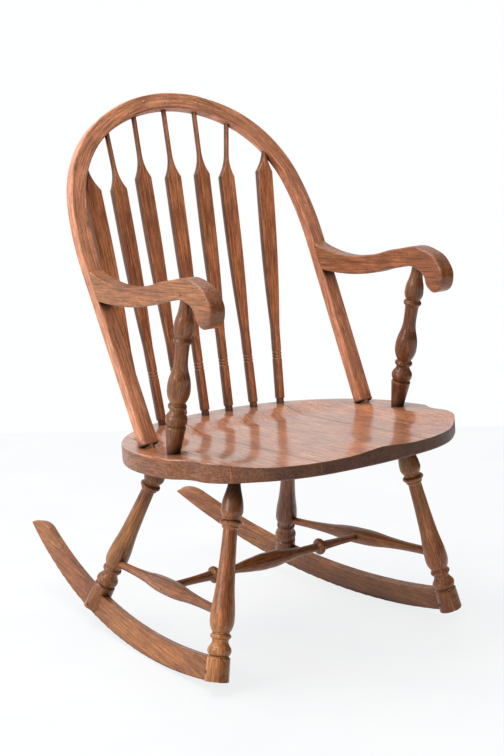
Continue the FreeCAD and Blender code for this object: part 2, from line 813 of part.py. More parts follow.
def leg_ends(which, side):
    if which == "front":
        front = -value("front_leg_front_low")
        high_front = -value("front_leg_front_high")
    else:
        front = value("back_leg_back_low")
        high_front = value("back_leg_back_high")
    low = vector(side * value(which + "_leg_spread_low") / 2, front, value("leg_low_height"))
    high = seat_point(side * value(which + "_leg_spread_high") / 2, high_front,
                      -value("seat_thickness"))
    return low, high


def leg_rows(which, length):
    top = share_of("seat_height", length)
    bead = size("leg_bead_height")
    head = size(which + "_leg_head_length")
    radius = size("leg_dia").half()
    tenon = size("leg_tenon").half()
    foot = bead * LEG_FOOT_SHARES[-1][0]
    body = top - head * LEG_HEAD_SHARES[0][0] - foot
    rows = [(-size("leg_foot_drop"), radius * LEG_FOOT_SHARE, 0)]
    rows += [(bead * up, radius * out, bulge) for up, out, bulge in LEG_FOOT_SHARES]
    rows += [(foot + body * up, radius * out, bulge) for up, out, bulge in LEG_SWELL_SHARES]
    rows += [(top - head * down, radius * out, bulge) for down, out, bulge in LEG_HEAD_SHARES]
    rows += [(top - head * LEG_NECK_SHARE, tenon, 0), (top + size("leg_tenon_depth"), tenon, 0)]
    return rows


seat_cutters = list(spindle_bores) + [hoop_bores.pop("left"), hoop_bores.pop("right")]
hoop_cutters = list(hoop_bores.values())
arm_pins = []
arm_screws = []
fit_two = size("fit") * 2


def reach_down(frame, depth):
    """The frame moved back along its own Z."""
    return frame.multiply(FreeCAD.Placement(vector(0, 0, -depth), FreeCAD.Rotation()))


for word, side in SIDES.items():
    low, high = post_frame(side)
    axis = high - low
    frame = look(low, axis, vector(0, -1, 0))
    post = turned("post_stock_" + word, post_rows(axis.Length))
    post.Placement = frame
    depth = size("post_tenon_depth") + size("end_gap")
    overrun = size("post_tenon")
    seat_cutters.append(cylinder("post_socket_" + word, size("post_tenon") + fit_two,
                                 depth + overrun, reach_down(frame, depth.value)))
    top_depth = size("post_top_grip") + size("end_gap")
    top_frame = look(high, axis, vector(1, 0, 0))
    top_hole = cylinder("arm_mortise_" + word, size("post_top_tenon") + fit_two,
                        top_depth + overrun, reach_down(top_frame, overrun.value))
    blank = new_body("arm_blank_" + word)
    sketch = new_sketch(blank, "arm_outline_" + word, "YZ_Plane")
    draw_loop(sketch, *arm_outline())
    board = pad(blank, sketch, size("arm_width"), "arm_board_" + word)
    round_edges(blank, board, size("arm_round"), arm_side_edge, "arm_edges_" + word)
    butt = vector(side * arm_across, hoop_face_back(value("arm_height")), value("arm_height"))
    blank.Placement = FreeCAD.Placement(butt, FreeCAD.Rotation())
    # pin through the arm's outer face into the post
    pin_up = high + FreeCAD.Vector(axis).normalize() * (value("post_top_grip") / 2)
    outer_face = side * (arm_across + value("arm_width") / 2)
    pin_start = vector(outer_face, pin_up.y, pin_up.z)
    pin_frame = look(pin_start, vector(-side, 0, 0), vector(0, 0, 1))
    arm_pins.append(cylinder("arm_pin_stock_" + word, size("arm_pin"), size("arm_pin_length"),
                             pin_frame))
    pin_hole = cylinder("arm_pin_hole_" + word, size("arm_pin") + fit_two,
                        size("arm_pin_length") + size("end_gap"), pin_frame)
    keep("arm_post_" + word, cut("arm_post_" + word, post, [pin_hole]))
    # screw from behind the hoop into the end of the arm
    screw_up = arm_butt_rise + value("arm_rise") * ARM_SCREW_SHARE / math.cos(hoop_lean)
    screw_start = on_hoop(side * hoop_foot(0, screw_up)[0], screw_up, value("hoop_depth") / 2)
    screw_frame = look(screw_start, -hoop_back, vector(1, 0, 0))
    shank = cylinder("arm_screw_shank_" + word, size("arm_screw"), size("arm_screw_length"),
                     screw_frame)
    head = cylinder("arm_screw_head_" + word, size("arm_screw_head"),
                    size("arm_screw_head_length"), screw_frame)
    arm_screws += [joined("arm_screw_stock_" + word, [shank, head])]
    screw_hole = cylinder("arm_screw_hole_" + word, size("arm_screw") + fit_two,
                          size("arm_screw_length") + size("end_gap"), screw_frame)
    head_hole = cylinder("arm_screw_recess_" + word, size("arm_screw_head") + fit_two,
                         size("arm_screw_head_length") + size("fit"), screw_frame)
    hoop_cutters += [screw_hole, head_hole]
    arm_screw_hole = cylinder("arm_screw_pilot_" + word, size("arm_screw") + fit_two,
                              size("arm_screw_length") + size("end_gap"), screw_frame)
    arm_pin_hole = cylinder("arm_pin_bore_" + word, size("arm_pin") + fit_two,
                            size("arm_pin_length") + size("end_gap"), pin_frame)
    keep("arm_" + word, cut("arm_" + word, blank, [top_hole, arm_pin_hole, arm_screw_hole]))

keep("hoop", cut("hoop", hoop_solid, hoop_cutters))
keep("arm_pins", joined("arm_pins", arm_pins))
keep("arm_screws", joined("arm_screws", arm_screws))
doc.recompute()


# Rockers and the slotted legs that straddle them

def rocker_low(along):
    return (along, rocker_radius - math.sqrt(rocker_radius ** 2 - along ** 2))


def rocker_points():
    """Corners of the rocker in its own plane, from the floor contact: front, tail and top."""
    front = rocker_low(-value("rocker_front_reach"))
    tail = rocker_low(value("rocker_tail_reach"))
    bevel = rocker_low(value("rocker_tail_reach") - value("rocker_tail_bevel"))
    rise = math.asin(bevel[0] / rocker_radius)
    tail_height = value("rocker_tail_height")
    tail_top = (bevel[0] - tail_height * math.sin(rise), bevel[1] + tail_height * math.cos(rise))
    front_top = (front[0], front[1] + value("rocker_front_height"))
    return front, tail, tail_top, front_top


def rocker_depth(along):
    """Height of the rocker, square to its lower edge, at a distance from its lowest point."""
    front, tail, tail_top, front_top = rocker_points()
    middle = (0.0, value("rocker_height"))
    arc = Part.Circle(vector(tail_top[0], tail_top[1], 0), vector(middle[0], middle[1], 0),
                      vector(front_top[0], front_top[1], 0))
    low = rocker_low(along)
    start = vector(low[0], low[1], 0)
    toward = (vector(0, rocker_radius, 0) - start).normalize()
    gap = start - arc.Center
    half = gap.dot(toward)
    return -half - math.sqrt(half ** 2 - gap.dot(gap) + arc.Radius ** 2)


def follow(point):
    return (share_of("rocker_radius", point[0]), share_of("rocker_radius", point[1]))


# the tail's sawn end bulges by a share of its length
TAIL_CROWN_SHARE = 0.11
# shares of the leg's drop, thickness and of the side stretcher's thickness
FOOT_BLOCK_SHARE = 1.5
PIN_LENGTH_SHARE = 0.97


def rocker_outline():
    front, tail, tail_top, front_top = rocker_points()
    chord = (tail[0] - tail_top[0], tail[1] - tail_top[1])
    bevel_middle = ((tail[0] + tail_top[0]) / 2 - chord[1] * TAIL_CROWN_SHARE,
                    (tail[1] + tail_top[1]) / 2 + chord[0] * TAIL_CROWN_SHARE)
    start = follow(front)
    legs = [(follow(tail), (ZERO, ZERO)), (follow(tail_top), follow(bevel_middle)),
            (follow(front_top), (ZERO, size("rocker_height"))), (start,)]
    return start, legs


def rocker_long_edge(edge):
    box_of = edge.BoundBox
    return box_of.YLength < value("fit") and box_of.XLength > value("fit")


def foot_point(which, side):
    """Where a leg's axis crosses the middle height of the rocker."""
    low, high = leg_ends(which, side)
    axis = (high - low).normalize()
    frame = rocker_frame(side, rocker_along(side, low), value("rocker_height") / 2)
    up = frame.Rotation.multVec(vector(0, 0, 1))
    return low + axis * ((frame.Base - low).dot(up) / axis.dot(up))


leg_stocks = {}
for word, side in SIDES.items():
    for which in ("front", "back"):
        low, high = leg_ends(which, side)
        name = "%s_%s" % (which, word)
        stock = turned("leg_stock_" + name, leg_rows(which, (high - low).Length))
        # the seam of the turned surface lies clear of the slot, the pin and the socket
        outward = vector(side, -1 if which == "front" else 1, 0)
        stock.Placement = look(low, high - low, outward)
        leg_stocks[name] = stock

leg_cutters = {}
rocker_pins = []
for word, side in SIDES.items():
    holes = []
    for which in ("front", "back"):
        along = rocker_along(side, foot_point(which, side))
        base = rocker_frame(side, along, 0)
        drop = size("leg_foot_drop") * FOOT_BLOCK_SHARE
        depth = share_of("rocker_height", rocker_depth(along)) + size("end_gap")
        room = size("leg_dia") * 2
        slot = box("slot_%s_%s" % (which, word), room, size("rocker_thickness") + fit_two,
                   drop + depth, reach_down(base, drop.value))
        lift = value(which + "_foot_lift")
        sole = box("sole_%s_%s" % (which, word), room, room, drop,
                   reach_down(base, drop.value - lift))
        pin_center = rocker_frame(side, along, value("rocker_pin_height"))
        across = pin_center.Rotation.multVec(vector(0, 1, 0))
        pin_length = size("leg_dia") * PIN_LENGTH_SHARE
        pin_start = pin_center.Base - across * (pin_length.value / 2)
        pin_frame = look(pin_start, across, vector(0, 0, 1))
        name = "%s_%s" % (which, word)
        rocker_pins.append(cylinder("rocker_pin_stock_" + name, size("rocker_pin"), pin_length,
                                    pin_frame))
        bore = size("rocker_pin") + fit_two
        leg_frame = look(pin_center.Base - across * room.value / 2, across, vector(0, 0, 1))
        leg_hole = cylinder("rocker_pin_hole_" + name, bore, room, leg_frame)
        holes.append(cylinder("rocker_pin_bore_" + name, bore, room, leg_frame))
        leg_cutters[name] = [slot, sole, leg_hole]
    blank = new_body("rocker_blank_" + word)
    sketch = new_sketch(blank, "rocker_outline_" + word, "XZ_Plane")
    draw_loop(sketch, *rocker_outline())
    board = pad(blank, sketch, size("rocker_thickness"), "rocker_board_" + word)
    round_edges(blank, board, size("rocker_round"), rocker_long_edge, "rocker_edges_" + word)
    level, rise = rocker_axes(side)
    blank.Placement = look(rocker_base(side), rise, level)
    # the front end follows the round of the leg's foot
    waste_long = size("leg_dia") * 2
    waste_frame = rocker_frame(side, rocker_along(side, foot_point("front", side)), 0)
    waste_shift = FreeCAD.Placement(vector(-waste_long.value / 2, 0, -waste_long.value / 2),
                                    FreeCAD.Rotation())
    waste_box = box("rocker_front_block_" + word, waste_long, waste_long, waste_long * 2,
                    waste_frame.multiply(waste_shift))
    waste = cut("rocker_front_waste_" + word, waste_box, [leg_stocks["front_" + word]])
    keep("rocker_" + word, cut("rocker_" + word, blank, holes + [waste]))
keep("rocker_pins", joined("rocker_pins", rocker_pins))


# Stretchers: one along each side, swelling where the cross stretcher enters it

SIDE_STRETCHER_SHARES = ((0, 0.465, 0), (0.07, 0.465, -0.012), (0.34, 0.72, 0.02),
                         (0.515, 1.0, 0.02), (0.69, 0.76, -0.012), (0.93, 0.52, 0),
                         (1, 0.52, 0))
CROSS_HALF_SHARES = ((0.0, 1.0, 0.03), (0.15, 0.87, 0.01), (0.27, 0.67, -0.03),
                     (0.40, 0.53, -0.01), (0.527, 0.53, 0), (0.538, 0.74, 0.36),
                     (0.592, 0.74, 0), (0.603, 0.59, -0.012), (0.94, 0.46, 0), (1.0, 0.46, 0))


def leg_point(which, side, height):
    low, high = leg_ends(which, side)
    return low + (high - low) * ((height - low.z) / (high.z - low.z))


def side_stretcher_line(side):
    back = leg_point("back", side, value("side_stretcher_back_height"))
    front = leg_point("front", side, value("side_stretcher_front_height"))
    return back, front


def side_stretcher_swell(side):
    back, front = side_stretcher_line(side)
    return back + (front - back) * value("cross_stretcher_share")


def tube_socket(name, share, radius_alias, start, direction):
    """A bore for a turned end, from its tip outward, with the fits round and behind it."""
    frame = look(start - direction * value("end_gap"), direction, vector(0, 0, 1))
    diameter = size(radius_alias) * share + fit_two
    return cylinder(name, diameter, size("leg_dia") + size("end_gap"), frame)


swell = {}
stretcher_pins = []
stretchers = {}
grip_inset = value("leg_dia") / 2 - value("stretcher_grip")
for word, side in SIDES.items():
    back, front = side_stretcher_line(side)
    run = FreeCAD.Vector(front - back).normalize()
    start = back + run * grip_inset
    end = front - run * grip_inset
    length = share_of("seat_front_reach", (end - start).Length)
    radius = size("side_stretcher_dia").half()
    rows = [(length * up, radius * out, bulge) for up, out, bulge in SIDE_STRETCHER_SHARES]
    body = turned("side_stretcher_stock_" + word, rows)
    body.Placement = look(start, run, vector(0, 0, 1))
    stretchers[word] = body
    leg_cutters["back_" + word].append(
        tube_socket("back_socket_" + word, SIDE_STRETCHER_SHARES[0][1], "side_stretcher_dia",
                    start, run))
    leg_cutters["front_" + word].append(
        tube_socket("front_socket_" + word, SIDE_STRETCHER_SHARES[-1][1], "side_stretcher_dia",
                    end, -run))
    swell[word] = side_stretcher_swell(side)

across = FreeCAD.Vector(swell["right"] - swell["left"]).normalize()
cross_inset = value("side_stretcher_dia") / 2 - value("cross_stretcher_grip")
cross_start = swell["left"] + across * cross_inset
cross_end = swell["right"] - across * cross_inset
cross_length = share_of("seat_width", (cross_end - cross_start).Length)
cross_radius = size("cross_stretcher_dia").half()
cross_rows = []
for share, out, bulge in CROSS_HALF_SHARES[::-1]:
    cross_rows.append((cross_length * (0.5 - share / 2), cross_radius * out, 0))
bulges = [row[2] for row in CROSS_HALF_SHARES[:-1]]
for index, bulge in enumerate(reversed(bulges)):
    up, out, _ = cross_rows[index]
    cross_rows[index] = (up, out, bulge)
for share, out, bulge in CROSS_HALF_SHARES[1:]:
    cross_rows.append((cross_length * (0.5 + share / 2), cross_radius * out, 0))
first = len(CROSS_HALF_SHARES) - 1
for index, bulge in enumerate(bulges):
    up, out, _ = cross_rows[first + index]
    cross_rows[first + index] = (up, out, bulge)
cross_body = turned("cross_stretcher_stock", cross_rows)
cross_body.Placement = look(cross_start, across, vector(0, 0, 1))

cross_cutters = []
for word, side in SIDES.items():
    toward = across * side
    tip = cross_end if side > 0 else cross_start
    socket = tube_socket("cross_socket_" + word, CROSS_HALF_SHARES[-1][1], "cross_stretcher_dia",
                         tip, -toward)
    pin_start = swell[word] + toward * (value("side_stretcher_dia") / 2 * PIN_LENGTH_SHARE)
    pin_frame = look(pin_start, -toward, vector(0, 0, 1))
    stretcher_pins.append(cylinder("stretcher_pin_stock_" + word, size("stretcher_pin"),
                                   size("stretcher_pin_length"), pin_frame))
    bore = size("stretcher_pin") + fit_two
    deep = size("stretcher_pin_length") + size("end_gap")
    outside = look(pin_start + toward * value("stretcher_pin"), -toward, vector(0, 0, 1))
    pin_hole = cylinder("stretcher_pin_hole_" + word, bore, deep + size("stretcher_pin"), outside)
    cross_cutters.append(cylinder("stretcher_pin_bore_" + word, bore,
                                  deep + size("stretcher_pin"), outside))
    keep("side_stretcher_" + word, cut("side_stretcher_" + word, stretchers[word],
                                       [socket, pin_hole]))
keep("cross_stretcher", cut("cross_stretcher", cross_body, cross_cutters))
keep("stretcher_pins", joined("stretcher_pins", stretcher_pins))

for word, side in SIDES.items():
    for which in ("front", "back"):
        low, high = leg_ends(which, side)
        axis = high - low
        name = "%s_%s" % (which, word)
        keep("leg_" + name, cut("leg_" + name, leg_stocks[name], leg_cutters[name]))
        depth = size("leg_tenon_depth") + size("end_gap")
        top = look(high, axis, vector(1, 0, 0))
        overrun = size("leg_tenon")
        seat_cutters.append(cylinder("leg_socket_" + name, size("leg_tenon") + fit_two,
                                     depth + overrun, reach_down(top, overrun.value)))

# Seat boards

carved = cut("seat_carved", seat_blank, [saddle] + seat_cutters)
seams = [None, value("seam_one"), value("seam_two"), value("seam_three"), None]
skew = FreeCAD.Placement(vector(0, 0, 0), FreeCAD.Rotation(vector(0, 0, 1), -value("seam_skew")))
board_frame = seat_placement.multiply(skew)
seat_room = size("seat_width") * 2
for index in range(4):
    low_side = seams[index]
    high_side = seams[index + 1]
    left_end = -seat_room.value / 2 if low_side is None else low_side + value("seam_gap") / 2
    right_end = seat_room.value / 2 if high_side is None else high_side - value("seam_gap") / 2
    middle = (left_end + right_end) / 2
    shift = FreeCAD.Placement(vector(middle, 0, -value("seat_thickness") * 2),
                              FreeCAD.Rotation())
    board_box = box("seat_board_box_%d" % (index + 1), share_of("seat_width", right_end - left_end),
                    seat_room, seat_thickness * 4, board_frame.multiply(shift))
    board = doc.addObject("Part::Common", "seat_board_%d" % (index + 1))
    board.Base = carved
    board.Tool = board_box
    keep("seat_board_%d" % (index + 1), board)

doc.recompute()

# Stance: tilted about the centre of the rockers' arc, set on the floor, origin in the middle

tilt = FreeCAD.Rotation(vector(1, 0, 0), value("rest_tilt"))
pivot = vector(0, middle_back, rocker_radius)
stance = FreeCAD.Placement(vector(0, 0, 0), tilt, pivot)


def extent():
    whole = FreeCAD.BoundBox()
    for obj in parts.values():
        whole.add(obj.Shape.optimalBoundingBox())
    return whole


def move_all(step):
    for obj in parts.values():
        obj.Placement = step.multiply(obj.Placement)
    doc.recompute()


move_all(stance)
whole = extent()
move_all(FreeCAD.Placement(vector(0, -(whole.YMin + whole.YMax) / 2, -whole.ZMin),
                           FreeCAD.Rotation()))
print("extent", extent(), "shift", -(whole.YMin + whole.YMax) / 2, -whole.ZMin)

# Every feature and piece is sound before anything is written

for obj in doc.Objects:
    if "Invalid" in obj.State or "Error" in obj.State:
        raise RuntimeError("%s: %s" % (obj.Name, obj.State))
os.makedirs("parts", exist_ok=True)
for name, obj in parts.items():
    if obj.Shape.isNull() or not obj.Shape.isValid():
        raise RuntimeError("bad shape: " + name)
    obj.Shape.exportStep("parts/%s.step" % name)
    print(name, len(obj.Shape.Solids), round(obj.Shape.Volume))
print("pieces", len(parts), "volume", round(sum(obj.Shape.Volume for obj in parts.values())))
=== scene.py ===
import math

import bmesh
import bpy
from bpy.props import FloatProperty, FloatVectorProperty, PointerProperty
from mathutils import Euler, Matrix, Vector


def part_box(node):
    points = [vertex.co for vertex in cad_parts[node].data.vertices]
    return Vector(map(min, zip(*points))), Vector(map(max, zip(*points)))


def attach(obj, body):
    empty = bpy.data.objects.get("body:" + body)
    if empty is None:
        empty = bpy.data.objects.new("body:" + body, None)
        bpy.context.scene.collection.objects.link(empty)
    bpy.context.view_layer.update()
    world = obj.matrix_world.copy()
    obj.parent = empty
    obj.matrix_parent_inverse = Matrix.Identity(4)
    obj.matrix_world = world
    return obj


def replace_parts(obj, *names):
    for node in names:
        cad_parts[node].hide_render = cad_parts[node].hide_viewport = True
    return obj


bl_info = {
    "name": "Hoop back rocking chair",
    "version": (1, 0, 0),
    "blender": (4, 5, 0),
    "location": "3D View > Sidebar > Rocking Chair",
    "description": "Shaved spindles, finishes, brads and a studio for a hoop back rocking chair",
    "category": "Object",
}

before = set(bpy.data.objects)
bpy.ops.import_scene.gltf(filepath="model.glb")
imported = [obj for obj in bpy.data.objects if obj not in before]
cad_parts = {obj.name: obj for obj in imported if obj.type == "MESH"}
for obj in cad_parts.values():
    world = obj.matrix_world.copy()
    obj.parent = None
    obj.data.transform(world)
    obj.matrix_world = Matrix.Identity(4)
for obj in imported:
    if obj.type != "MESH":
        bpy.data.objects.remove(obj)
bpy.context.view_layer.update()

SPINDLES = ["spindle_%d" % number for number in range(1, 8)]
SEAT_BOARDS = ["seat_board_%d" % number for number in range(1, 5)]
ARMS = ["arm_left", "arm_right"]
POSTS = ["arm_post_left", "arm_post_right"]
FRONT_LEGS = ["leg_front_left", "leg_front_right"]
BACK_LEGS = ["leg_back_left", "leg_back_right"]
STRETCHERS = ["side_stretcher_left", "side_stretcher_right", "cross_stretcher"]
ROCKERS = ["rocker_left", "rocker_right"]
WOODEN_PINS = ["rocker_pins", "arm_pins", "stretcher_pins"]
SCREWS = ["arm_screws"]

# looks of each wood; what varies over a piece, or from piece to piece, is added where it is given
HOOP_WOOD = {"darkness": 0.22, "rub": 0.30, "figure": 0.35, "varnish": 0.8,
             "coat_roughness": 0.26, "fade": 0.50}
SPINDLE_WOOD = {"rub": 0.5, "figure": 0.45, "varnish": 0.9, "coat_roughness": 0.22, "fade": 0.24}
SEAT_WOOD = {"rub": 0.55, "figure": 0.40, "coat_roughness": 0.17, "fade": 0.30,
             "coat_index": 1.75}
ARM_WOOD = {"darkness": 0.52, "rub": 0.5, "figure": 0.4, "varnish": 1.0, "coat_roughness": 0.20,
            "fade": 0.08}
POST_WOOD = {"darkness": 0.66, "rub": 0.4, "figure": 0.5, "varnish": 1.0, "coat_roughness": 0.12}
LEG_WOOD = {"rub": 0.9, "figure": 0.5, "varnish": 0.8, "coat_roughness": 0.12}
STRETCHER_WOOD = {"darkness": 0.50, "rub": 0.4, "figure": 0.4, "varnish": 0.8,
                  "coat_roughness": 0.16}
ROCKER_WOOD = {"darkness": 0.48, "rub": 0.5, "figure": 0.4, "varnish": 0.5,
               "coat_roughness": 0.24}
PIN_WOOD = {"darkness": 0.85, "rub": 0.1, "figure": 0.5, "varnish": 0.4, "coat_roughness": 0.35}
PLUG_WOOD = {"darkness": 0.10, "rub": 0.6, "figure": 0.3, "varnish": 0.3, "coat_roughness": 0.4,
             "fade": 0.7}

# for a row of like pieces: middle darkness, how far it varies, its step from piece to piece, start
SPINDLE_STAIN = (0.05, 0.04, 2.1, 0.0)
SEAT_STAIN = (0.22, 0.06, 2.7, 1.0)
# painted shade on the spindles' left-facing sides
SPINDLE_LEFT_SHADE_DARKNESS = 0.85
# the seat's upright rim is darker, partly stain and partly painted shade, and lighter on its left
# side as painted light
RIM_STAIN_SHADE_DARKNESS, LIT_LEFT_RIM_DARKNESS = 0.97, 0.74
RIM_VARNISH, SEAT_VARNISH = 0.3, 2.2
SEAM_DARKNESS, SEAM_VARNISH = 0.9, -2.1
# the legs' heads are darker as painted shade under the seat
FRONT_LEG_DARKNESS, BACK_LEG_DARKNESS, LEG_HEAD_SHADE_DARKNESS = 0.32, 0.66, 1.0

# heights over the floor, in metres, between which a leg darkens to its head: painted shade under
# the seat
LEG_SHADE_LOW, LEG_SHADE_HIGH = 0.25, 0.33

SEAT_GRAIN_LINE = (0.096, 1, -0.058)
ARM_GRAIN_LINE = (0.02, 1, -0.05)
PIN_GRAIN_LINE = (1, 0, 0)

# parts of a face's normal between which a look that depends on its direction changes
LEVEL_RISE = (0.35, 0.85)
LEFT_SIDE = (-0.85, -0.45)
SEAM_LEAN = (0.16, 0.42)
SEAM_RISE = (0.82, 0.90)

# for each look of a material: the two values of its noise, openness or angle between which it
# comes in, and then its amount at each of them
RANGES = {
    "band": (0.36, 0.66, 0.0, 1.0),
    "rubbed": (0.42, 0.72, 0.0, 1.0),
    "streak tone": (0.30, 0.70, 0.66, 1.34),
    "dash tone": (0.34, 0.62, 0.70, 1.16),
    "mottle tone": (0.30, 0.70, 0.84, 1.14),
    "open pore": (0.58, 0.70, 0.0, 0.62),
    "recess_grime_shade": (0.35, 0.97, 0.94, 0.0),
    "painted_shade": (0.20, 0.85, 0.80, 0.0),
    "scratch": (0.66, 0.74, 0.0, 0.55),
    "edge": (0.985, 0.88, 0.0, 1.0),
    "scuffed": (0.40, 0.62, 0.0, 1.0),
    "roughness": (0.25, 0.75, 0.30, 0.46),
    "rust": (0.42, 0.66, 0.0, 1.0),
    "steel roughness": (0.3, 0.7, 0.32, 0.62),
    "floor cloud": (0.35, 0.68, 0.0, 1.0),
    "floor roughness": (0.3, 0.7, 0.42, 0.6),
}
UNSTAINED_TONE, STAINED_TONE = 1.35, 0.20
# tint of the painted shade in sheltered places, such as under the seat
PAINTED_SHADE_TINT = (0.26, 0.20, 0.17, 1.0)
EDGE_WEAR_SHARE = 0.70
PORE_ROUGHNESS, RECESS_ROUGHNESS = 0.25, 0.3
STREAK_HEIGHT_SHARE, SCUFF_HEIGHT_SHARE = 0.5, 0.35
RECESS_SAMPLES, PAINTED_SHADE_SAMPLES, EDGE_SAMPLES, SEAM_SAMPLES = 6, 8, 4, 6
WOOD_INDEX, WOOD_SHINE, WOOD_BUMP, VARNISH_INDEX = 1.48, 0.25, 0.55, 1.56

# scale, share of its length and layers of the noise by which the grain wanders to the side, and
# the middle of its colours
SWAY_SCALE, SWAY_ALONG, SWAY_LAYERS = 7.0, 0.4, 1.0
NOISE_MIDDLE = (0.5, 0.5, 0.5)

# scale, layers and strength of the finer layers of the noises of steel and floor
RUST_NOISE, STEEL_SCRATCH_NOISE = (900.0, 5.0, 0.65), (2500.0, 3.0, 0.5)
FLOOR_CLOUD_NOISE, FLOOR_SPECK_NOISE = (3.5, 5.0, 0.6), (60.0, 3.0, 0.7)

BRIGHT_STEEL, RUST = (0.66, 0.54, 0.47, 1.0), (0.24, 0.13, 0.085, 1.0)
STEEL_SCRATCH_ALONG, STEEL_METAL_SHARE = 0.1, 0.35
STEEL_BUMP, RUST_DEPTH = 0.5, 0.00008
FLOOR_BUMP, FLOOR_SPECK_DEPTH, FLOOR_INDEX = 0.2, 0.0004, 1.4

# steps by which each piece is taken from another stretch of the tree, and the tree's size
TREE_STEPS = (0.0137, 0.0291, 0.171)
TREE_SIZE = (1.7, 1.3, 3.1)

# every so many points are enough to find a piece's line, which settles in so many turns
POINT_STEP, LINE_TURNS = 7, 60
FIRST_LINE = (0.3, 0.5, 0.8)

# for each spindle, in metres: how far its shoulders lie under its top, and how far it is warped
# to the side there
SPINDLE_SHOULDERS = ((0.0557, 0.0045), (0.1093, 0.0025), (0.1173, -0.0013), (0.1285, 0.0007),
                     (0.1209, 0.0014), (0.1058, -0.0123), (0.0494, -0.0046))
RING_WIDTH_SHARE = 0.28
SWELL_START_SHARE, SWELL_LENGTH_SHARE = 0.08, 0.74
FLARE_POWER, FLAT_POWER = 2.5, 9
ROUND_HALF_SHARE = 0.55

# how many steps a spindle's profile has from the tenon to the top, and how many round it
TENON_STEPS, FOOT_STEPS, RING_STEPS, PADDLE_STEPS, FLARE_STEPS, TOP_STEPS = 2, 3, 40, 48, 24, 8
SPINDLE_SIDES = 48

FOOT_EDGE_STEPS, FOOT_CORNER_STEPS = 5, 4
HEAD_SIDES, HEAD_EDGE_STEPS = 28, 3
HEAD_EDGE_RISE_SHARE, HEAD_EDGE_WIDTH_SHARE = 0.8, 0.2
ROUND_PROFILE = 0.5
CREASE = math.radians(38)

# the photo's size, and where the brads and the plug lie in it
PICTURE_WIDE, PICTURE_HIGH = 504, 756
BRAD_MARKS = ((143.7, 101.4), (164.0, 102.0), (196.2, 102.9))
PLUG_MARK = (137.9, 412)

# the camera's longer side, in mm
SENSOR = 36

# a point of the line where the floor meets the wall, in metres, that line's run, and how far the
# floor's middle lies along it
WALL_POINT = (0.428, 1.566, 0)
WALL_RUN = (0.963, -0.886, 0)
WALL_SHIFT = 0.6
FLOOR_WHITE = (0.995, 0.998, 1.0, 1.0)
FLOOR_DULL_WHITE = (0.970, 0.984, 0.992, 1.0)
FLOOR_DULL_SHARE = 0.955

# size, place and aim of each lamp, in metres
KEY_SIZE, KEY_PLACE, KEY_AIM = 2.0, (-0.7, 0.5, 2.8), (0.0, 0.0, 0.35)
WINDOW_SIZE, WINDOW_PLACE, WINDOW_AIM = 1.6, (-2.7, 0.1, 1.5), (0.0, 0.0, 0.45)

# direction of the daylight, and the cosines of the angle to it between which it comes in
BRIGHT_SIDE = (-0.55, 0.55, 0.62)
BRIGHT_REACH = (-0.55, 0.65)
WALL_WHITE = (0.992, 0.997, 1.0, 1.0)


def colour(name, text, default):
    return FloatVectorProperty(name=name, description=text, subtype="COLOR", size=3, min=0, max=1,
                               default=default)


def share(name, text, default):
    return FloatProperty(name=name, description=text, subtype="FACTOR", min=0, max=1,
                         default=default)


def length(name, text, default):
    return FloatProperty(name=name, description=text, unit="LENGTH", subtype="DISTANCE", min=0,
                         default=default, precision=5)


def number(name, text, default):
    return FloatProperty(name=name, description=text, min=0, default=default)


def power(name, text, default):
    return FloatProperty(name=name, description=text, subtype="POWER", unit="POWER", min=0,
                         default=default)


class ChairFinish(bpy.types.PropertyGroup):
    """Stain, varnish and wear of the wood, with its grime and painted shade."""
    dark: colour("Dark stain", "Stain that stays in the late wood", (0.120, 0.031, 0.0085))
    middle: colour("Middle stain", "Red-brown stain of most of the wood", (0.350, 0.110, 0.032))
    light: colour("Light wood", "Orange-brown wood where the stain is thin", (0.58, 0.235, 0.068))
    faded: colour("Faded wood", "Pinkish brown where daylight has bleached the stain",
                  (0.74, 0.32, 0.19))
    # the grime colour darkens the pores with dirt, and joints and ring grooves with grime and
    # painted shade
    grime_and_shade: colour("Grime", "Dirt in joints, rings and pores", (0.030, 0.0095, 0.0042))
    sway: length("Sway", "How far the grain wanders to the side", 0.010)
    ring_width: length("Ring width", "Distance between two bands of late wood", 0.010)
    streak_width: length("Streak width", "Width of the fine streaks of the grain", 0.0020)
    pore_width: length("Pore width", "Width of the dark open pores", 0.0009)
    dash_width: length("Dash width", "Width of the short dark dashes of the grain", 0.0030)
    scratch_width: length("Scratch width", "Width of the light scratches", 0.0026)
    patches: number("Patches", "Rubbed patches to the metre", 13.0)
    mottles: number("Mottles", "Lighter and darker spots to the metre", 42.0)
    scuffs: number("Scuffs", "Scuffs to the metre", 85.0)
    pore_depth: length("Pore depth", "Depth of the pores and brush marks in the varnish", 0.00012)
    edge_wear: length("Edge wear", "Reach of the worn stain along an edge", 0.0028)
    seam_reach: length("Seam reach", "Reach of the dark line along a glued edge", 0.0032)
    # reach of the grime and painted shade that darken the wood near joints and rings
    recess_shade_reach: length("Recess reach", "Reach of the grime out of a joint or a ring", 0.016)
    # reach of the painted shade in sheltered places, such as the legs' heads under the seat
    painted_shade_reach: length("Patina reach", "Reach of the dark patina in sheltered places", 0.13)
    gloss: share("Varnish", "Strength of the varnish coat", 0.45)


class HoopFootSizes(bpy.types.PropertyGroup):
    """Rounded ends of the hoop's feet."""
    face: length("Face", "Width of a foot, seen from the front", 0.0284)
    depth: length("Depth", "Depth of a foot from front to back", 0.0198)
    height: length("Height", "Length of the rounded end", 0.013)
    drop: length("Drop", "How far the rounded end hangs below the foot's cut", 0.0082)
    rounding: length("Rounding", "Radius of the lower edges", 0.0055)
    corner: length("Corner", "Radius of the upright edges", 0.003)
    tenon_reach: length("Tenon reach", "Length of the tenon with its bare neck", 0.033)
    end_band: length("End band", "Height over a tenon's lowest point that is its end", 0.005)


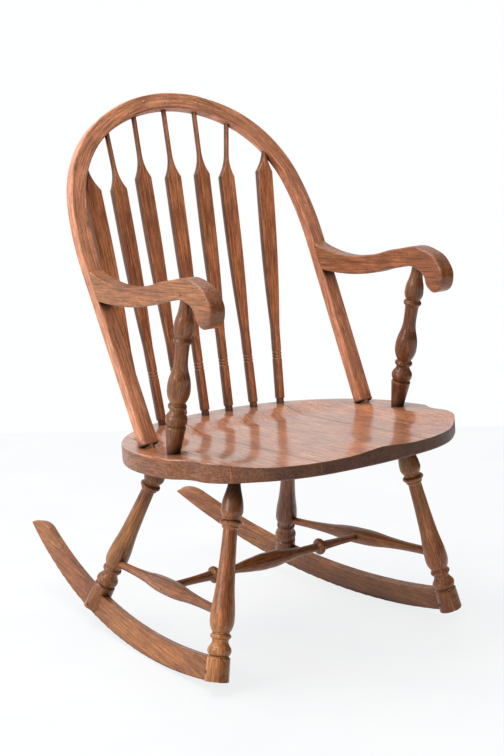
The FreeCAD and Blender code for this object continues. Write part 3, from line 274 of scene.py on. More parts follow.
class BradSizes(bpy.types.PropertyGroup):
    """Small nail heads and the plug."""
    head_width: length("Head width", "Diameter of a brad's head on the hoop", 0.0040)
    head_height: length("Head height", "How far a brad's head stands proud", 0.0007)
    plug_width: length("Plug width", "Diameter of the wooden plug low on the hoop", 0.0052)
    plug_height: length("Plug height", "How far the plug stands proud", 0.0003)
    sunk: length("Sunk", "How deep a head or the plug goes into the wood", 0.0012)


class SpindleSizes(bpy.types.PropertyGroup):
    """Turning and flats of the arrow spindles."""
    stem_width: length("Stem width", "Diameter of the round stem", 0.0172)
    foot_width: length("Foot width", "Diameter of the neck just over the seat", 0.0138)
    paddle_width: length("Paddle width", "Width of an arrow at its shoulders", 0.0308)
    outer_paddle_width: length("Outer paddle width", "The same for the outermost spindles", 0.0335)
    paddle_thickness: length("Paddle thickness", "Thickness between the two flats", 0.011)
    top_width: length("Top width", "Diameter of the thin top", 0.0088)
    tenon_depth: length("Tenon depth", "How deep a spindle stands in the seat", 0.019)
    shoulder_lift: length("Shoulder lift", "Height of the stem's lower end over the seat", 0.009)
    shoulder_step: length("Shoulder step", "Height in which a sharp shoulder turns", 0.0004)
    ring_height: length("Ring height", "Height of the middle ring over the seat", 0.0875)
    ring_pitch: length("Ring pitch", "Distance between two rings", 0.0056)
    ring_depth: length("Ring depth", "Depth of a cut ring", 0.0011)
    flat_start: length("Flat start", "Height over the seat at which the flats begin", 0.113)
    flat_ramp: length("Flat ramp", "Length over which a flat reaches its depth", 0.044)
    flare: length("Flare", "Length of the hollow flare over the shoulders", 0.046)


class StudioSettings(bpy.types.PropertyGroup):
    """Floor, light and camera."""
    floor: colour("Floor", "Pale painted floor", (0.80, 0.82, 0.84))
    floor_length: length("Floor length", "Side of the square floor", 7.0)
    floor_lift: share("Floor lift", "How far the floor is seen as white in spite of shadows", 0.80)
    daylight: number("Daylight", "Strength of the light from the bright side", 1.0)
    shade: number("Shade", "Strength of the light from the dark side", 0.04)
    key: power("Key lamp", "Power of the large lamp overhead", 38)
    window: power("Window lamp", "Power of the soft lamp at the left", 30)
    camera_place: FloatVectorProperty(name="Camera place", description="Where the camera stands",
                                      subtype="TRANSLATION", unit="LENGTH", size=3,
                                      default=(-1.7903, -2.3718, 1.0233))
    camera_turn: FloatVectorProperty(name="Camera turn", description="How the camera is turned",
                                     subtype="EULER", unit="ROTATION", size=3,
                                     default=(1.37240, 0.03198, -0.66673))
    lens: FloatProperty(name="Lens", description="Focal length on a 36 mm frame",
                        unit="CAMERA", default=83.376, min=1)


def finish_settings():
    return bpy.context.scene.chair_finish


class Shader:
    """A node tree with short calls to add nodes and feed them."""

    def __init__(self, tree):
        self.tree = tree

    def node(self, kind, settings=None, **sockets):
        node = self.tree.nodes.new(kind)
        for name, content in (settings or {}).items():
            setattr(node, name, content)
        for name, content in sockets.items():
            self.feed(node.inputs[name.replace("_", " ")], content)
        return node

    def feed(self, socket, content):
        if isinstance(content, bpy.types.NodeSocket):
            self.tree.links.new(content, socket)
        elif content is not None:
            socket.default_value = content

    def math(self, operation, first, second=None, clamp=False):
        node = self.node("ShaderNodeMath", {"operation": operation, "use_clamp": clamp})
        self.feed(node.inputs[0], first)
        self.feed(node.inputs[1], second)
        return node.outputs[0]

    def times(self, first, second):
        return self.math("MULTIPLY", first, second)

    def vector_math(self, operation, first, second):
        node = self.node("ShaderNodeVectorMath", {"operation": operation})
        self.feed(node.inputs[0], first)
        self.feed(node.inputs[1], second)
        return node.outputs["Value" if operation == "DOT_PRODUCT" else "Vector"]

    def part(self, vector, axis):
        """One of the three numbers of a vector."""
        return self.node("ShaderNodeSeparateXYZ", Vector=vector).outputs[axis]

    def spot(self):
        """Place on the object."""
        return self.node("ShaderNodeTexCoord").outputs["Object"]

    def normal(self):
        """Direction in which the surface looks."""
        return self.node("ShaderNodeNewGeometry").outputs["Normal"]

    def rounded_normal(self, reach, samples):
        """Direction in which the surface would look if its edges were rounded."""
        return self.node("ShaderNodeBevel", {"samples": samples}, Radius=reach).outputs["Normal"]

    def openness(self, reach, samples):
        """How little of the neighbourhood is filled: 1 in the open, 0 deep in a joint."""
        return self.node("ShaderNodeAmbientOcclusion", {"samples": samples},
                         Distance=reach).outputs["AO"]

    def blend(self, amount, first, second, way="MIX"):
        node = self.node("ShaderNodeMix", {"data_type": "RGBA", "blend_type": way})
        self.feed(node.inputs["Factor"], amount)
        self.feed(node.inputs["A"], first)
        self.feed(node.inputs["B"], second)
        return node.outputs["Result"]

    def tinted(self, base, tone):
        """A colour times a tone, which is a number."""
        grey = self.node("ShaderNodeCombineColor", Red=tone, Green=tone, Blue=tone).outputs[0]
        return self.blend(1.0, base, grey, "MULTIPLY")

    def spread(self, content, low, high, to_low=0.0, to_high=1.0):
        """Goes smoothly from to_low to to_high while the content goes from low to high."""
        node = self.node("ShaderNodeMapRange", {"interpolation_type": "SMOOTHSTEP"})
        for name, entry in (("Value", content), ("From Min", low), ("From Max", high),
                            ("To Min", to_low), ("To Max", to_high)):
            self.feed(node.inputs[name], entry)
        return node.outputs["Result"]

    def noise(self, vector, scale, layers, roughness):
        node = self.node("ShaderNodeTexNoise", Vector=vector, Scale=scale, Detail=layers,
                         Roughness=roughness)
        return node.outputs["Fac"]

    def stretched(self, vector, along):
        """The grain vector with its length shortened, so that a pattern on it is drawn out."""
        return self.vector_math("MULTIPLY", vector, (1.0, 1.0, along))


def rgba(entry):
    return (entry[0], entry[1], entry[2], 1.0)


def empty_material(name):
    material = bpy.data.materials.new(name)
    material.use_nodes = True
    material.node_tree.nodes.clear()
    return material, Shader(material.node_tree)


def swayed(shader, grain, reach):
    """The grain vector with a slow wander to the side."""
    sway = shader.node("ShaderNodeTexNoise", Vector=shader.stretched(grain, SWAY_ALONG),
                       Scale=SWAY_SCALE, Detail=SWAY_LAYERS)
    sway = shader.vector_math("SUBTRACT", sway.outputs["Color"], NOISE_MIDDLE)
    sway = shader.vector_math("MULTIPLY", sway, (reach, reach, 0.0))
    return shader.vector_math("ADD", grain, sway)


def wood_patterns(shader, grain, finish):
    """The noises of the wood, from broad bands to fine pores."""
    # for each: its scale, how far it is drawn out along the grain (1 is even, less is longer),
    # its layers, and the strength of its finer layers
    table = {
        "rings": (1 / finish.ring_width, 0.035, 3.0, 0.55),
        "streaks": (1 / finish.streak_width, 0.028, 4.0, 0.6),
        "pores": (1 / finish.pore_width, 0.09, 2.0, 0.5),
        "patches": (finish.patches, 0.45, 3.0, 0.55),
        "scuffs": (finish.scuffs, 0.8, 4.0, 0.7),
        "dashes": (1 / finish.dash_width, 0.07, 3.0, 0.65),
        "mottles": (finish.mottles, 0.6, 3.0, 0.6),
        "scratches": (1 / finish.scratch_width, 0.35, 3.0, 0.7),
    }
    return {name: shader.noise(shader.stretched(grain, along), scale, layers, strength)
            for name, (scale, along, layers, strength) in table.items()}


def stained_colour(shader, given, seen, finish):
    """Colour of the wood with its bands, rubbed patches, streaks, dashes and stain; the darkness
    that sets the stain also carries painted shade and light on some pieces.
    """
    band = shader.times(shader.spread(seen["rings"], *RANGES["band"]), given["Figure"])
    base = shader.blend(band, rgba(finish.middle), rgba(finish.dark))
    rubbed = shader.times(shader.spread(seen["patches"], *RANGES["rubbed"]), given["Rub"])
    base = shader.blend(rubbed, base, rgba(finish.light))
    base = shader.blend(given["Fade"], base, rgba(finish.faded))
    tone = shader.spread(seen["streaks"], *RANGES["streak tone"])
    tone = shader.times(tone, shader.spread(seen["dashes"], *RANGES["dash tone"]))
    tone = shader.times(tone, shader.spread(seen["mottles"], *RANGES["mottle tone"]))
    base = shader.tinted(base, tone)
    # darkness is the stain, and on the seat's rim, the spindles' left sides and the legs' heads
    # also painted shade and light
    stain = shader.node("ShaderNodeMapRange", Value=given["Darkness"], To_Min=UNSTAINED_TONE,
                        To_Max=STAINED_TONE)
    return shader.tinted(base, stain.outputs["Result"])


def worn_edge(shader, scuffs, finish):
    """How far the stain is rubbed off along an edge, broken up by scuffs."""
    rounded = shader.rounded_normal(finish.edge_wear, EDGE_SAMPLES)
    edge = shader.vector_math("DOT_PRODUCT", rounded, shader.normal())
    edge = shader.spread(edge, *RANGES["edge"])
    worn = shader.times(edge, shader.spread(scuffs, *RANGES["scuffed"]))
    return shader.times(worn, EDGE_WEAR_SHARE)


def grain_group():
    """Colour, roughness and height of stained, varnished wood whose grain runs along Z, with grime
    and painted shade in its joints and painted shade in sheltered places.
    """
    name = "stained wood grain"
    if name in bpy.data.node_groups:
        return bpy.data.node_groups[name]
    finish = finish_settings()
    tree = bpy.data.node_groups.new(name, "ShaderNodeTree")
    face = tree.interface
    face.new_socket("Grain", in_out="INPUT", socket_type="NodeSocketVector")
    for label in ("Darkness", "Rub", "Figure", "Fade"):
        face.new_socket(label, in_out="INPUT", socket_type="NodeSocketFloat")
    face.new_socket("Colour", in_out="OUTPUT", socket_type="NodeSocketColor")
    for label in ("Roughness", "Height"):
        face.new_socket(label, in_out="OUTPUT", socket_type="NodeSocketFloat")
    shader = Shader(tree)
    given = shader.node("NodeGroupInput").outputs
    seen = wood_patterns(shader, swayed(shader, given["Grain"], finish.sway), finish)

    base = stained_colour(shader, given, seen, finish)
    open_pore = shader.spread(seen["pores"], *RANGES["open pore"])
    base = shader.blend(open_pore, base, rgba(finish.grime_and_shade))
    # grime and painted shade: the wood darkens where joints and ring grooves crowd it in
    recess_grime_shade = shader.openness(finish.recess_shade_reach, RECESS_SAMPLES)
    recess_grime_shade = shader.spread(recess_grime_shade, *RANGES["recess_grime_shade"])
    base = shader.blend(recess_grime_shade, base, rgba(finish.grime_and_shade))
    # painted shade: the wood is darker where much of its surroundings is filled, under the seat and
    # between parts
    painted_shade = shader.openness(finish.painted_shade_reach, PAINTED_SHADE_SAMPLES)
    painted_shade = shader.spread(painted_shade, *RANGES["painted_shade"])
    base = shader.blend(painted_shade, base, shader.blend(1.0, base, PAINTED_SHADE_TINT, "MULTIPLY"))
    scratch = shader.spread(seen["scratches"], *RANGES["scratch"])
    base = shader.blend(scratch, base, rgba(finish.light))
    base = shader.blend(worn_edge(shader, seen["scuffs"], finish), base, rgba(finish.light))

    rough = shader.spread(seen["scuffs"], *RANGES["roughness"])
    rough = shader.math("ADD", rough, shader.times(open_pore, PORE_ROUGHNESS))
    rough = shader.math("ADD", rough, shader.times(recess_grime_shade, RECESS_ROUGHNESS), clamp=True)
    height = shader.times(seen["streaks"], STREAK_HEIGHT_SHARE)
    height = shader.math("SUBTRACT", height, open_pore)
    height = shader.math("ADD", height, shader.times(seen["scuffs"], SCUFF_HEIGHT_SHARE))
    shader.node("NodeGroupOutput", Colour=base, Roughness=rough, Height=height)
    return tree


def by_rise(rim, top):
    """A share that is rim, or the share that rim gives, on upright faces and top on level ones."""

    def share_of(shader):
        rise = shader.part(shader.normal(), "Z")
        at_rim = rim(shader) if callable(rim) else rim
        return shader.spread(rise, *LEVEL_RISE, at_rim, top)

    return share_of


def by_side(elsewhere, left):
    """A share that is left on faces that look to the chair's left, and elsewhere on all others."""

    def share_of(shader):
        return shader.spread(shader.part(shader.normal(), "X"), *LEFT_SIDE, left, elsewhere)

    return share_of


def by_height(low, high, at_low, at_high):
    """A share that changes between two heights over the floor."""

    def share_of(shader):
        return shader.spread(shader.part(shader.spot(), "Z"), low, high, at_low, at_high)

    return share_of


def seamed(share_of_board, side, amount):
    """The same share with amount added along the board's glued edges; side 0 means both edges."""

    def share_of(shader):
        rounded = shader.rounded_normal(finish_settings().seam_reach, SEAM_SAMPLES)
        lean = shader.part(rounded, "X")
        lean = shader.times(lean, side) if side else shader.math("ABSOLUTE", lean)
        line = shader.times(shader.spread(lean, *SEAM_LEAN),
                            shader.spread(shader.part(shader.normal(), "Z"), *SEAM_RISE))
        return shader.math("ADD", share_of_board(shader), shader.times(line, amount))

    return share_of


def wood(name, grain_of, darkness, rub, figure, varnish, coat_roughness, fade=0.0,
         coat_index=VARNISH_INDEX):
    """A wood; grain_of, and darkness and varnish where they vary, are functions of the shader."""
    finish = finish_settings()
    material, shader = empty_material(name)
    darkness = darkness(shader) if callable(darkness) else darkness
    group = shader.node("ShaderNodeGroup", {"node_tree": grain_group()}, Grain=grain_of(shader),
                        Darkness=darkness, Rub=rub, Figure=figure, Fade=fade)
    if callable(varnish):
        coat = shader.times(varnish(shader), finish.gloss)
    else:
        coat = varnish * finish.gloss
    bump = shader.node("ShaderNodeBump", Strength=WOOD_BUMP, Distance=finish.pore_depth,
                       Height=group.outputs["Height"])
    body = shader.node("ShaderNodeBsdfPrincipled", Base_Color=group.outputs["Colour"],
                       Roughness=group.outputs["Roughness"], Normal=bump.outputs["Normal"],
                       IOR=WOOD_INDEX, Specular_IOR_Level=WOOD_SHINE, Coat_Weight=coat,
                       Coat_Roughness=coat_roughness, Coat_IOR=coat_index)
    shader.node("ShaderNodeOutputMaterial", Surface=body.outputs["BSDF"])
    return material


def steel():
    """Old steel, worn bright and rusted in spots."""
    name = "worn dark steel"
    if name in bpy.data.materials:
        return bpy.data.materials[name]
    material, shader = empty_material(name)
    spot = shader.spot()
    rust = shader.noise(spot, *RUST_NOISE)
    scratch = shader.noise(shader.stretched(spot, STEEL_SCRATCH_ALONG), *STEEL_SCRATCH_NOISE)
    tone = shader.blend(shader.spread(rust, *RANGES["rust"]), BRIGHT_STEEL, RUST)
    rough = shader.spread(scratch, *RANGES["steel roughness"])
    bump = shader.node("ShaderNodeBump", Strength=STEEL_BUMP, Distance=RUST_DEPTH, Height=rust)
    body = shader.node("ShaderNodeBsdfPrincipled", Base_Color=tone, Roughness=rough,
                       Normal=bump.outputs["Normal"], Metallic=STEEL_METAL_SHARE)
    shader.node("ShaderNodeOutputMaterial", Surface=body.outputs["BSDF"])
    return material


def painted_floor(studio):
    """Pale paint that the camera sees lifted towards white, with the object's shadow kept."""
    material, shader = empty_material("painted floor")
    spot = shader.spot()
    cloud = shader.spread(shader.noise(spot, *FLOOR_CLOUD_NOISE), *RANGES["floor cloud"])
    speck = shader.noise(spot, *FLOOR_SPECK_NOISE)
    dull = tuple(channel * FLOOR_DULL_SHARE for channel in studio.floor)
    tone = shader.blend(cloud, rgba(studio.floor), rgba(dull))
    rough = shader.spread(speck, *RANGES["floor roughness"])
    bump = shader.node("ShaderNodeBump", Strength=FLOOR_BUMP, Distance=FLOOR_SPECK_DEPTH,
                       Height=speck)
    body = shader.node("ShaderNodeBsdfPrincipled", Base_Color=tone, Roughness=rough,
                       Normal=bump.outputs["Normal"], IOR=FLOOR_INDEX)
    white = shader.blend(cloud, FLOOR_WHITE, FLOOR_DULL_WHITE)
    glow = shader.node("ShaderNodeEmission", Color=white, Strength=1.0)
    path = shader.node("ShaderNodeLightPath")
    seen = shader.math("MAXIMUM", path.outputs["Is Camera Ray"], path.outputs["Is Glossy Ray"])
    bright = shader.node("ShaderNodeMixShader")
    shader.feed(bright.inputs[0], shader.times(seen, studio.floor_lift))
    shader.feed(bright.inputs[1], body.outputs["BSDF"])
    shader.feed(bright.inputs[2], glow.outputs["Emission"])
    shader.node("ShaderNodeOutputMaterial", Surface=bright.outputs["Shader"])
    return material


def node_points(name):
    return [vertex.co.copy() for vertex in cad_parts[name].data.vertices]


def middle_of(points):
    return sum(points, Vector()) / len(points)


def longest_line(points):
    """Middle of the points and the direction in which they reach farthest from it."""
    middle = middle_of(points)
    spread = Matrix(((0, 0, 0), (0, 0, 0), (0, 0, 0)))
    for point in points[::POINT_STEP]:
        arm = point - middle
        for row in range(3):
            spread[row] = spread[row] + arm * arm[row]
    line = Vector(FIRST_LINE)
    for _ in range(LINE_TURNS):
        line = (spread @ line).normalized()
    return middle, line


def upward(line):
    return line if line.z > 0 else -line


def standing_frame(place, line):
    """Matrix that brings Z onto the line and X as near to the chair's right as it goes."""
    across = (Vector((1, 0, 0)) - line * line.x).normalized()
    turn = Matrix((across, line.cross(across), line)).transposed().to_4x4()
    return Matrix.Translation(place) @ turn


def straight_grain(place, turn, offset):
    """Grain along a straight line: place is a point on it, turn brings Z onto it."""

    def grain(shader):
        mapped = shader.node("ShaderNodeMapping", {"vector_type": "TEXTURE"},
                             Vector=shader.spot(), Location=place, Rotation=turn)
        return shader.vector_math("ADD", mapped.outputs["Vector"], offset)

    return grain


def own_offset(name):
    """A different stretch of the tree for each piece."""
    count = sum(ord(letter) * place for place, letter in enumerate(name, start=1))
    return Vector([count * step % size for step, size in zip(TREE_STEPS, TREE_SIZE)])


def grain_along(name, line=None):
    """Grain along a line, or else along the node's own length."""
    middle, found = longest_line(node_points(name))
    line = Vector(line).normalized() if line else found
    turn = line.to_track_quat("Z", "Y").to_euler()
    return straight_grain(middle, turn, own_offset(name))


def hoop_grain(shader):
    """Grain that follows the steamed bend: round the arch, then down both legs."""
    low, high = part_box("hoop")
    points = node_points("hoop")
    top = max(points, key=lambda point: point.z)
    foot = min(points, key=lambda point: point.z)
    up = Vector((0, top.y - foot.y, top.z - foot.z)).normalized()
    radius = (high[0] - low[0]) / 2
    centre = Vector((0, top.y, top.z)) - up * radius
    turn = up.to_track_quat("Z", "Y").to_euler()
    mapped = shader.node("ShaderNodeMapping", {"vector_type": "TEXTURE"}, Vector=shader.spot(),
                         Location=centre, Rotation=turn)
    split = shader.node("ShaderNodeSeparateXYZ", Vector=mapped.outputs["Vector"])
    across = shader.math("ABSOLUTE", split.outputs["X"])
    above = shader.math("MAXIMUM", split.outputs["Z"], 0.0)
    below = shader.math("MINIMUM", split.outputs["Z"], 0.0)
    reach = shader.math("ADD", shader.times(across, across), shader.times(above, above))
    reach = shader.math("SQRT", reach)
    swept = shader.math("ARCTAN2", split.outputs["X"], above)
    side = shader.math("SIGN", split.outputs["X"])
    run = shader.math("SUBTRACT", shader.times(swept, radius), shader.times(side, below))
    grain = shader.node("ShaderNodeCombineXYZ", X=reach, Y=split.outputs["Y"], Z=run)
    return shader.vector_math("ADD", grain.outputs[0], own_offset("hoop"))


def give(name, material):
    """Puts a finish in every slot of a node's object, and leaves its mesh alone."""
    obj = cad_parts[name]
    if not obj.material_slots:
        raise RuntimeError("%s has no material slot" % name)
    for slot in obj.material_slots:
        slot.link = "OBJECT"
        slot.material = material


def give_wood(name, looks, line=None, **own_looks):
    """Finishes a node in a wood of its own, with the grain along a line or along the piece."""
    material = wood("%s wood" % name.replace("_", " "), grain_along(name, line), **looks,
                    **own_looks)
    give(name, material)
    return material


def own_stain(place, stain):
    """Darkness of the piece at a place in its row, a little different from its neighbours'."""
    middle, reach, step, start = stain
    return middle + reach * math.sin(place * step + start)


def add_piece(name, shape, material):
    """Makes an object of a shape, smooth but for its creases, and seats it in the frame."""
    bmesh.ops.recalc_face_normals(shape, faces=shape.faces[:])
    for face in shape.faces:
        face.smooth = True
    mesh = bpy.data.meshes.new(name)
    shape.to_mesh(mesh)
    shape.free()
    mesh.set_sharp_from_angle(angle=CREASE)
    mesh.materials.append(material)
    obj = bpy.data.objects.new(name, mesh)
    bpy.context.scene.collection.objects.link(obj)
    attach(obj, "root")
    return obj


def round_off(shape, edges, radius, steps):
    bmesh.ops.bevel(shape, geom=edges, offset=radius, segments=steps, profile=ROUND_PROFILE,
                    affect="EDGES", material=-1)


def disc_heads(name, spots, width, rise, sunk, material):
    """Low round heads, each on its spot with its face along the spot's normal."""
    shape = bmesh.new()
    for place, normal in spots:
        turn = Vector(normal).to_track_quat("Z", "Y").to_matrix().to_4x4()
        seat = Matrix.Translation(place) @ turn
        middle = Matrix.Translation((0, 0, (rise - sunk) / 2))
        made = bmesh.ops.create_cone(shape, cap_ends=True, segments=HEAD_SIDES,
                                     radius1=width / 2, radius2=width / 2, depth=rise + sunk,
                                     matrix=seat @ middle)
        edges = {edge for vertex in made["verts"] for edge in vertex.link_edges}
        rim = [edge for edge in edges
               if all((seat.inverted() @ vertex.co).z > 0 for vertex in edge.verts)]
        radius = min(rise * HEAD_EDGE_RISE_SHARE, width * HEAD_EDGE_WIDTH_SHARE)
        round_off(shape, rim, radius, HEAD_EDGE_STEPS)
    return add_piece(name, shape, material)


def on_node(name, start, direction):
    """The spot where a straight line from start meets a node, with the face's normal there."""
    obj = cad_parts[name]
    found, place, normal, _ = obj.ray_cast(Vector(start), Vector(direction).normalized())
    if not found:
        raise RuntimeError("nothing of %s lies on that line" % name)
    return place, normal


def sight_line(mark):
    """Start and direction of the line through a place in the photo, given in its pixels."""
    studio = bpy.context.scene.chair_studio
    turn = Euler(studio.camera_turn).to_matrix()
    wide = PICTURE_WIDE / PICTURE_HIGH * SENSOR / studio.lens
    high = SENSOR / studio.lens
    across = (mark[0] / PICTURE_WIDE - 0.5) * wide
    rise = (0.5 - mark[1] / PICTURE_HIGH) * high
    return Vector(studio.camera_place), turn @ Vector((across, rise, -1.0))


def ease(amount):
    """Smooth step from 0 to 1 while the amount goes from 0 to 1."""
    amount = min(max(amount, 0.0), 1.0)
    return amount * amount * (3 - 2 * amount)


def spindle_radius(sizes, height, shoulder, width):
    """Radius of the turned spindle at a height over the seat."""
    stem, neck = sizes.stem_width / 2, sizes.top_width / 2
    if height < sizes.shoulder_lift:
        return sizes.foot_width / 2
    if height > shoulder:
        left = max(1 - (height - shoulder) / sizes.flare, 0.0)
        return neck + (width / 2 - neck) * left ** FLARE_POWER
    groove = 0.0
    for ring in (-1, 0, 1):
        off = abs(height - sizes.ring_height - ring * sizes.ring_pitch)
        groove = max(groove, 1 - off / (sizes.ring_pitch * RING_WIDTH_SHARE))
    reach = (height - sizes.flat_start) / (shoulder - sizes.flat_start)
    rest = 1 - min(max((reach - SWELL_START_SHARE) / SWELL_LENGTH_SHARE, 0.0), 1.0)
    return stem + (width / 2 - stem) * (1 - rest * rest) - sizes.ring_depth * groove


def spindle_heights(sizes, shoulder, top):
    """Heights of the profile's points: close where the form turns quickly, wide elsewhere."""
    low = sizes.ring_height - 2 * sizes.ring_pitch
    high = sizes.ring_height + 2 * sizes.ring_pitch
    flare_end = min(shoulder + sizes.flare, top)
    spans = ((-sizes.tenon_depth, sizes.shoulder_lift - sizes.shoulder_step, TENON_STEPS),
             (sizes.shoulder_lift, low, FOOT_STEPS), (low, high, RING_STEPS),
             (high, shoulder - sizes.shoulder_step, PADDLE_STEPS),
             (shoulder, flare_end, FLARE_STEPS), (flare_end, top, TOP_STEPS))
    heights = {start + (end - start) * step / steps
               for start, end, steps in spans for step in range(steps + 1)}
    return sorted(heights)


def turned(profile):
    """A closed round shape from the radius and height of each point of its profile."""
    shape = bmesh.new()
    last = bmesh.ops.create_vert(shape, co=(0, 0, 0))["vert"][0]
    last.co = (profile[0][0], 0, profile[0][1])
    for radius, height in profile[1:]:
        last = bmesh.ops.extrude_vert_indiv(shape, verts=[last])["verts"][0]
        last.co = (radius, 0, height)
    bmesh.ops.spin(shape, geom=shape.verts[:] + shape.edges[:], cent=(0, 0, 0), axis=(0, 0, 1),
                   angle=math.tau, steps=SPINDLE_SIDES, use_merge=True)
    bmesh.ops.holes_fill(shape, edges=[edge for edge in shape.edges if edge.is_boundary])
    return shape


def arrow_spindle(name, drop, warp, width):
    """An arrow spindle on the line of its node: turned, shaved to two flats and a little warped."""
    sizes = bpy.context.scene.chair_spindles
    points = node_points(name)
    middle, line = longest_line(points)
    line = upward(line)
    reach = [(point - middle).dot(line) for point in points]
    seat = middle + line * (min(reach) + sizes.tenon_depth)
    top = max(reach) - min(reach) - sizes.tenon_depth
    shoulder = top - drop
    shape = turned([(spindle_radius(sizes, height, shoulder, width), height)
                    for height in spindle_heights(sizes, shoulder, top)])
    round_half, flat_half = sizes.stem_width * ROUND_HALF_SHARE, sizes.paddle_thickness / 2
    for vertex in shape.verts:
        height = vertex.co.z
        shaved = ease((height - sizes.flat_start) / sizes.flat_ramp)
        flat = round_half + (flat_half - round_half) * shaved
        deep = abs(vertex.co.y / flat)
        vertex.co.y = vertex.co.y / (1 + deep ** FLAT_POWER) ** (1 / FLAT_POWER)
        lean = height / shoulder if height < shoulder else (top - height) / drop
        vertex.co.x += warp * max(lean, 0.0)
    bmesh.ops.transform(shape, matrix=standing_frame(seat, line), verts=shape.verts[:])
    return shape


def plane_up(name):
    """Direction in which a flat, symmetric piece rises: the long axis of its side view."""
    points = node_points(name)
    middle = middle_of(points)
    arms = [point - middle for point in points]
    both = sum(arm.y * arm.z for arm in arms)
    rise = sum(arm.z * arm.z - arm.y * arm.y for arm in arms)
    turn = math.atan2(2 * both, rise) / 2
    return Vector((0, math.sin(turn), math.cos(turn)))


def hoop_foot(side, sizes):
    """Place and direction of the hoop's cut foot on one side, read from the end of its tenon."""
    points = [point for point in node_points("hoop") if point.x * side > 0]
    up = plane_up("hoop")
    low = min(point.dot(up) for point in points)
    end = [point for point in points if point.dot(up) < low + sizes.end_band]
    middle = middle_of(end)
    far = max(end, key=lambda point: (point - middle).length)
    line = max(((far - middle).cross(point - middle) for point in end),
               key=lambda turn: turn.length).normalized()
    line = upward(line)
    return middle + line * sizes.tenon_reach, line


def rounded_foot(sizes, place, line):
    """A block round at its lower end, that carries a foot of the hoop down near the seat."""
    shape = bmesh.new()
    bmesh.ops.create_cube(shape, size=1)
    bmesh.ops.scale(shape, vec=(sizes.face, sizes.depth, sizes.height), verts=shape.verts[:])
    bmesh.ops.translate(shape, vec=(0, 0, sizes.height / 2 - sizes.drop), verts=shape.verts[:])
    rim = [edge for edge in shape.edges if all(vertex.co.z < 0 for vertex in edge.verts)]
    round_off(shape, rim, sizes.rounding, FOOT_EDGE_STEPS)
    corners = [edge for edge in shape.edges
               if abs(edge.verts[0].co.z - edge.verts[1].co.z) > sizes.height / 2]
    round_off(shape, corners, sizes.corner, FOOT_CORNER_STEPS)
    bmesh.ops.transform(shape, matrix=standing_frame(place, line), verts=shape.verts[:])
    return shape


class CHAIR_OT_hoop(bpy.types.Operator):
    """Finish the bent hoop with grain that follows its bend, and round the ends of its feet"""
    bl_idname = "chair.hoop"
    bl_label = "Bent hoop"

    def execute(self, context):
        material = wood("bent hoop wood", hoop_grain, **HOOP_WOOD)
        give("hoop", material)
        sizes = context.scene.chair_hoop_feet
        for word, side in (("left", -1), ("right", 1)):
            shape = rounded_foot(sizes, *hoop_foot(side, sizes))
            add_piece("hoop_foot_" + word, shape, material)
        return {"FINISHED"}


class CHAIR_OT_spindles(bpy.types.Operator):
    """Turn, flatten and finish the seven arrow spindles, each from its own stick, with painted
    shade on their left sides
    """
    bl_idname = "chair.spindles"
    bl_label = "Arrow spindles"

    def execute(self, context):
        sizes = context.scene.chair_spindles
        for place, name in enumerate(SPINDLES):
            # painted shade: each spindle is darker on the faces that look to the chair's left
            darkness = by_side(own_stain(place, SPINDLE_STAIN), SPINDLE_LEFT_SHADE_DARKNESS)
            material = give_wood(name, SPINDLE_WOOD, darkness=darkness)
            outer = name in (SPINDLES[0], SPINDLES[-1])
            width = sizes.outer_paddle_width if outer else sizes.paddle_width
            shape = arrow_spindle(name, *SPINDLE_SHOULDERS[place], width)
            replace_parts(add_piece(name + "_shaved", shape, material), name)
        return {"FINISHED"}


class CHAIR_OT_seat(bpy.types.Operator):
    """Finish the boards of the carved seat, polished by use and dark along their seams, with a rim
    darkened partly by stain and partly by painted shade, and painted light on its left side
    """
    bl_idname = "chair.seat"
    bl_label = "Carved seat"

    def execute(self, context):
        for place, name in enumerate(SEAT_BOARDS):
            # the rim is darkened partly by stain and partly by painted shade, and lightened on its
            # left side as painted light
            rim = by_side(RIM_STAIN_SHADE_DARKNESS, LIT_LEFT_RIM_DARKNESS)
            darkness = by_rise(rim, own_stain(place, SEAT_STAIN))
            varnish = by_rise(RIM_VARNISH, SEAT_VARNISH)
            seam_side = {SEAT_BOARDS[0]: 1, SEAT_BOARDS[-1]: -1}.get(name, 0)
            give_wood(name, SEAT_WOOD, SEAT_GRAIN_LINE,
                      darkness=seamed(darkness, seam_side, SEAM_DARKNESS),
                      varnish=seamed(varnish, seam_side, SEAM_VARNISH))
        return {"FINISHED"}


class CHAIR_OT_arms(bpy.types.Operator):
    """Finish the scrolled arms, sawn from boards with straight grain"""
    bl_idname = "chair.arms"
    bl_label = "Scrolled arms"

    def execute(self, context):
        for name in ARMS:
            give_wood(name, ARM_WOOD, ARM_GRAIN_LINE)
        return {"FINISHED"}


class CHAIR_OT_turnings(bpy.types.Operator):
    """Finish the turned posts, legs and stretchers, with painted shade on the legs' heads under the
    seat
    """
    bl_idname = "chair.turnings"
    bl_label = "Turned posts, legs and stretchers"

    def execute(self, context):
        for name in POSTS:
            give_wood(name, POST_WOOD)
        for names, body_darkness in ((FRONT_LEGS, FRONT_LEG_DARKNESS),
                                     (BACK_LEGS, BACK_LEG_DARKNESS)):
            for name in names:
                # painted shade: each leg darkens towards its head under the seat
                darkness = by_height(LEG_SHADE_LOW, LEG_SHADE_HIGH, body_darkness,
                                     LEG_HEAD_SHADE_DARKNESS)
                give_wood(name, LEG_WOOD, darkness=darkness)
        for name in STRETCHERS:
            give_wood(name, STRETCHER_WOOD)
        return {"FINISHED"}


class CHAIR_OT_rockers(bpy.types.Operator):
    """Finish the curved rockers, sawn from boards"""
    bl_idname = "chair.rockers"
    bl_label = "Rockers"

    def execute(self, context):
        for name in ROCKERS:
            give_wood(name, ROCKER_WOOD)
        return {"FINISHED"}


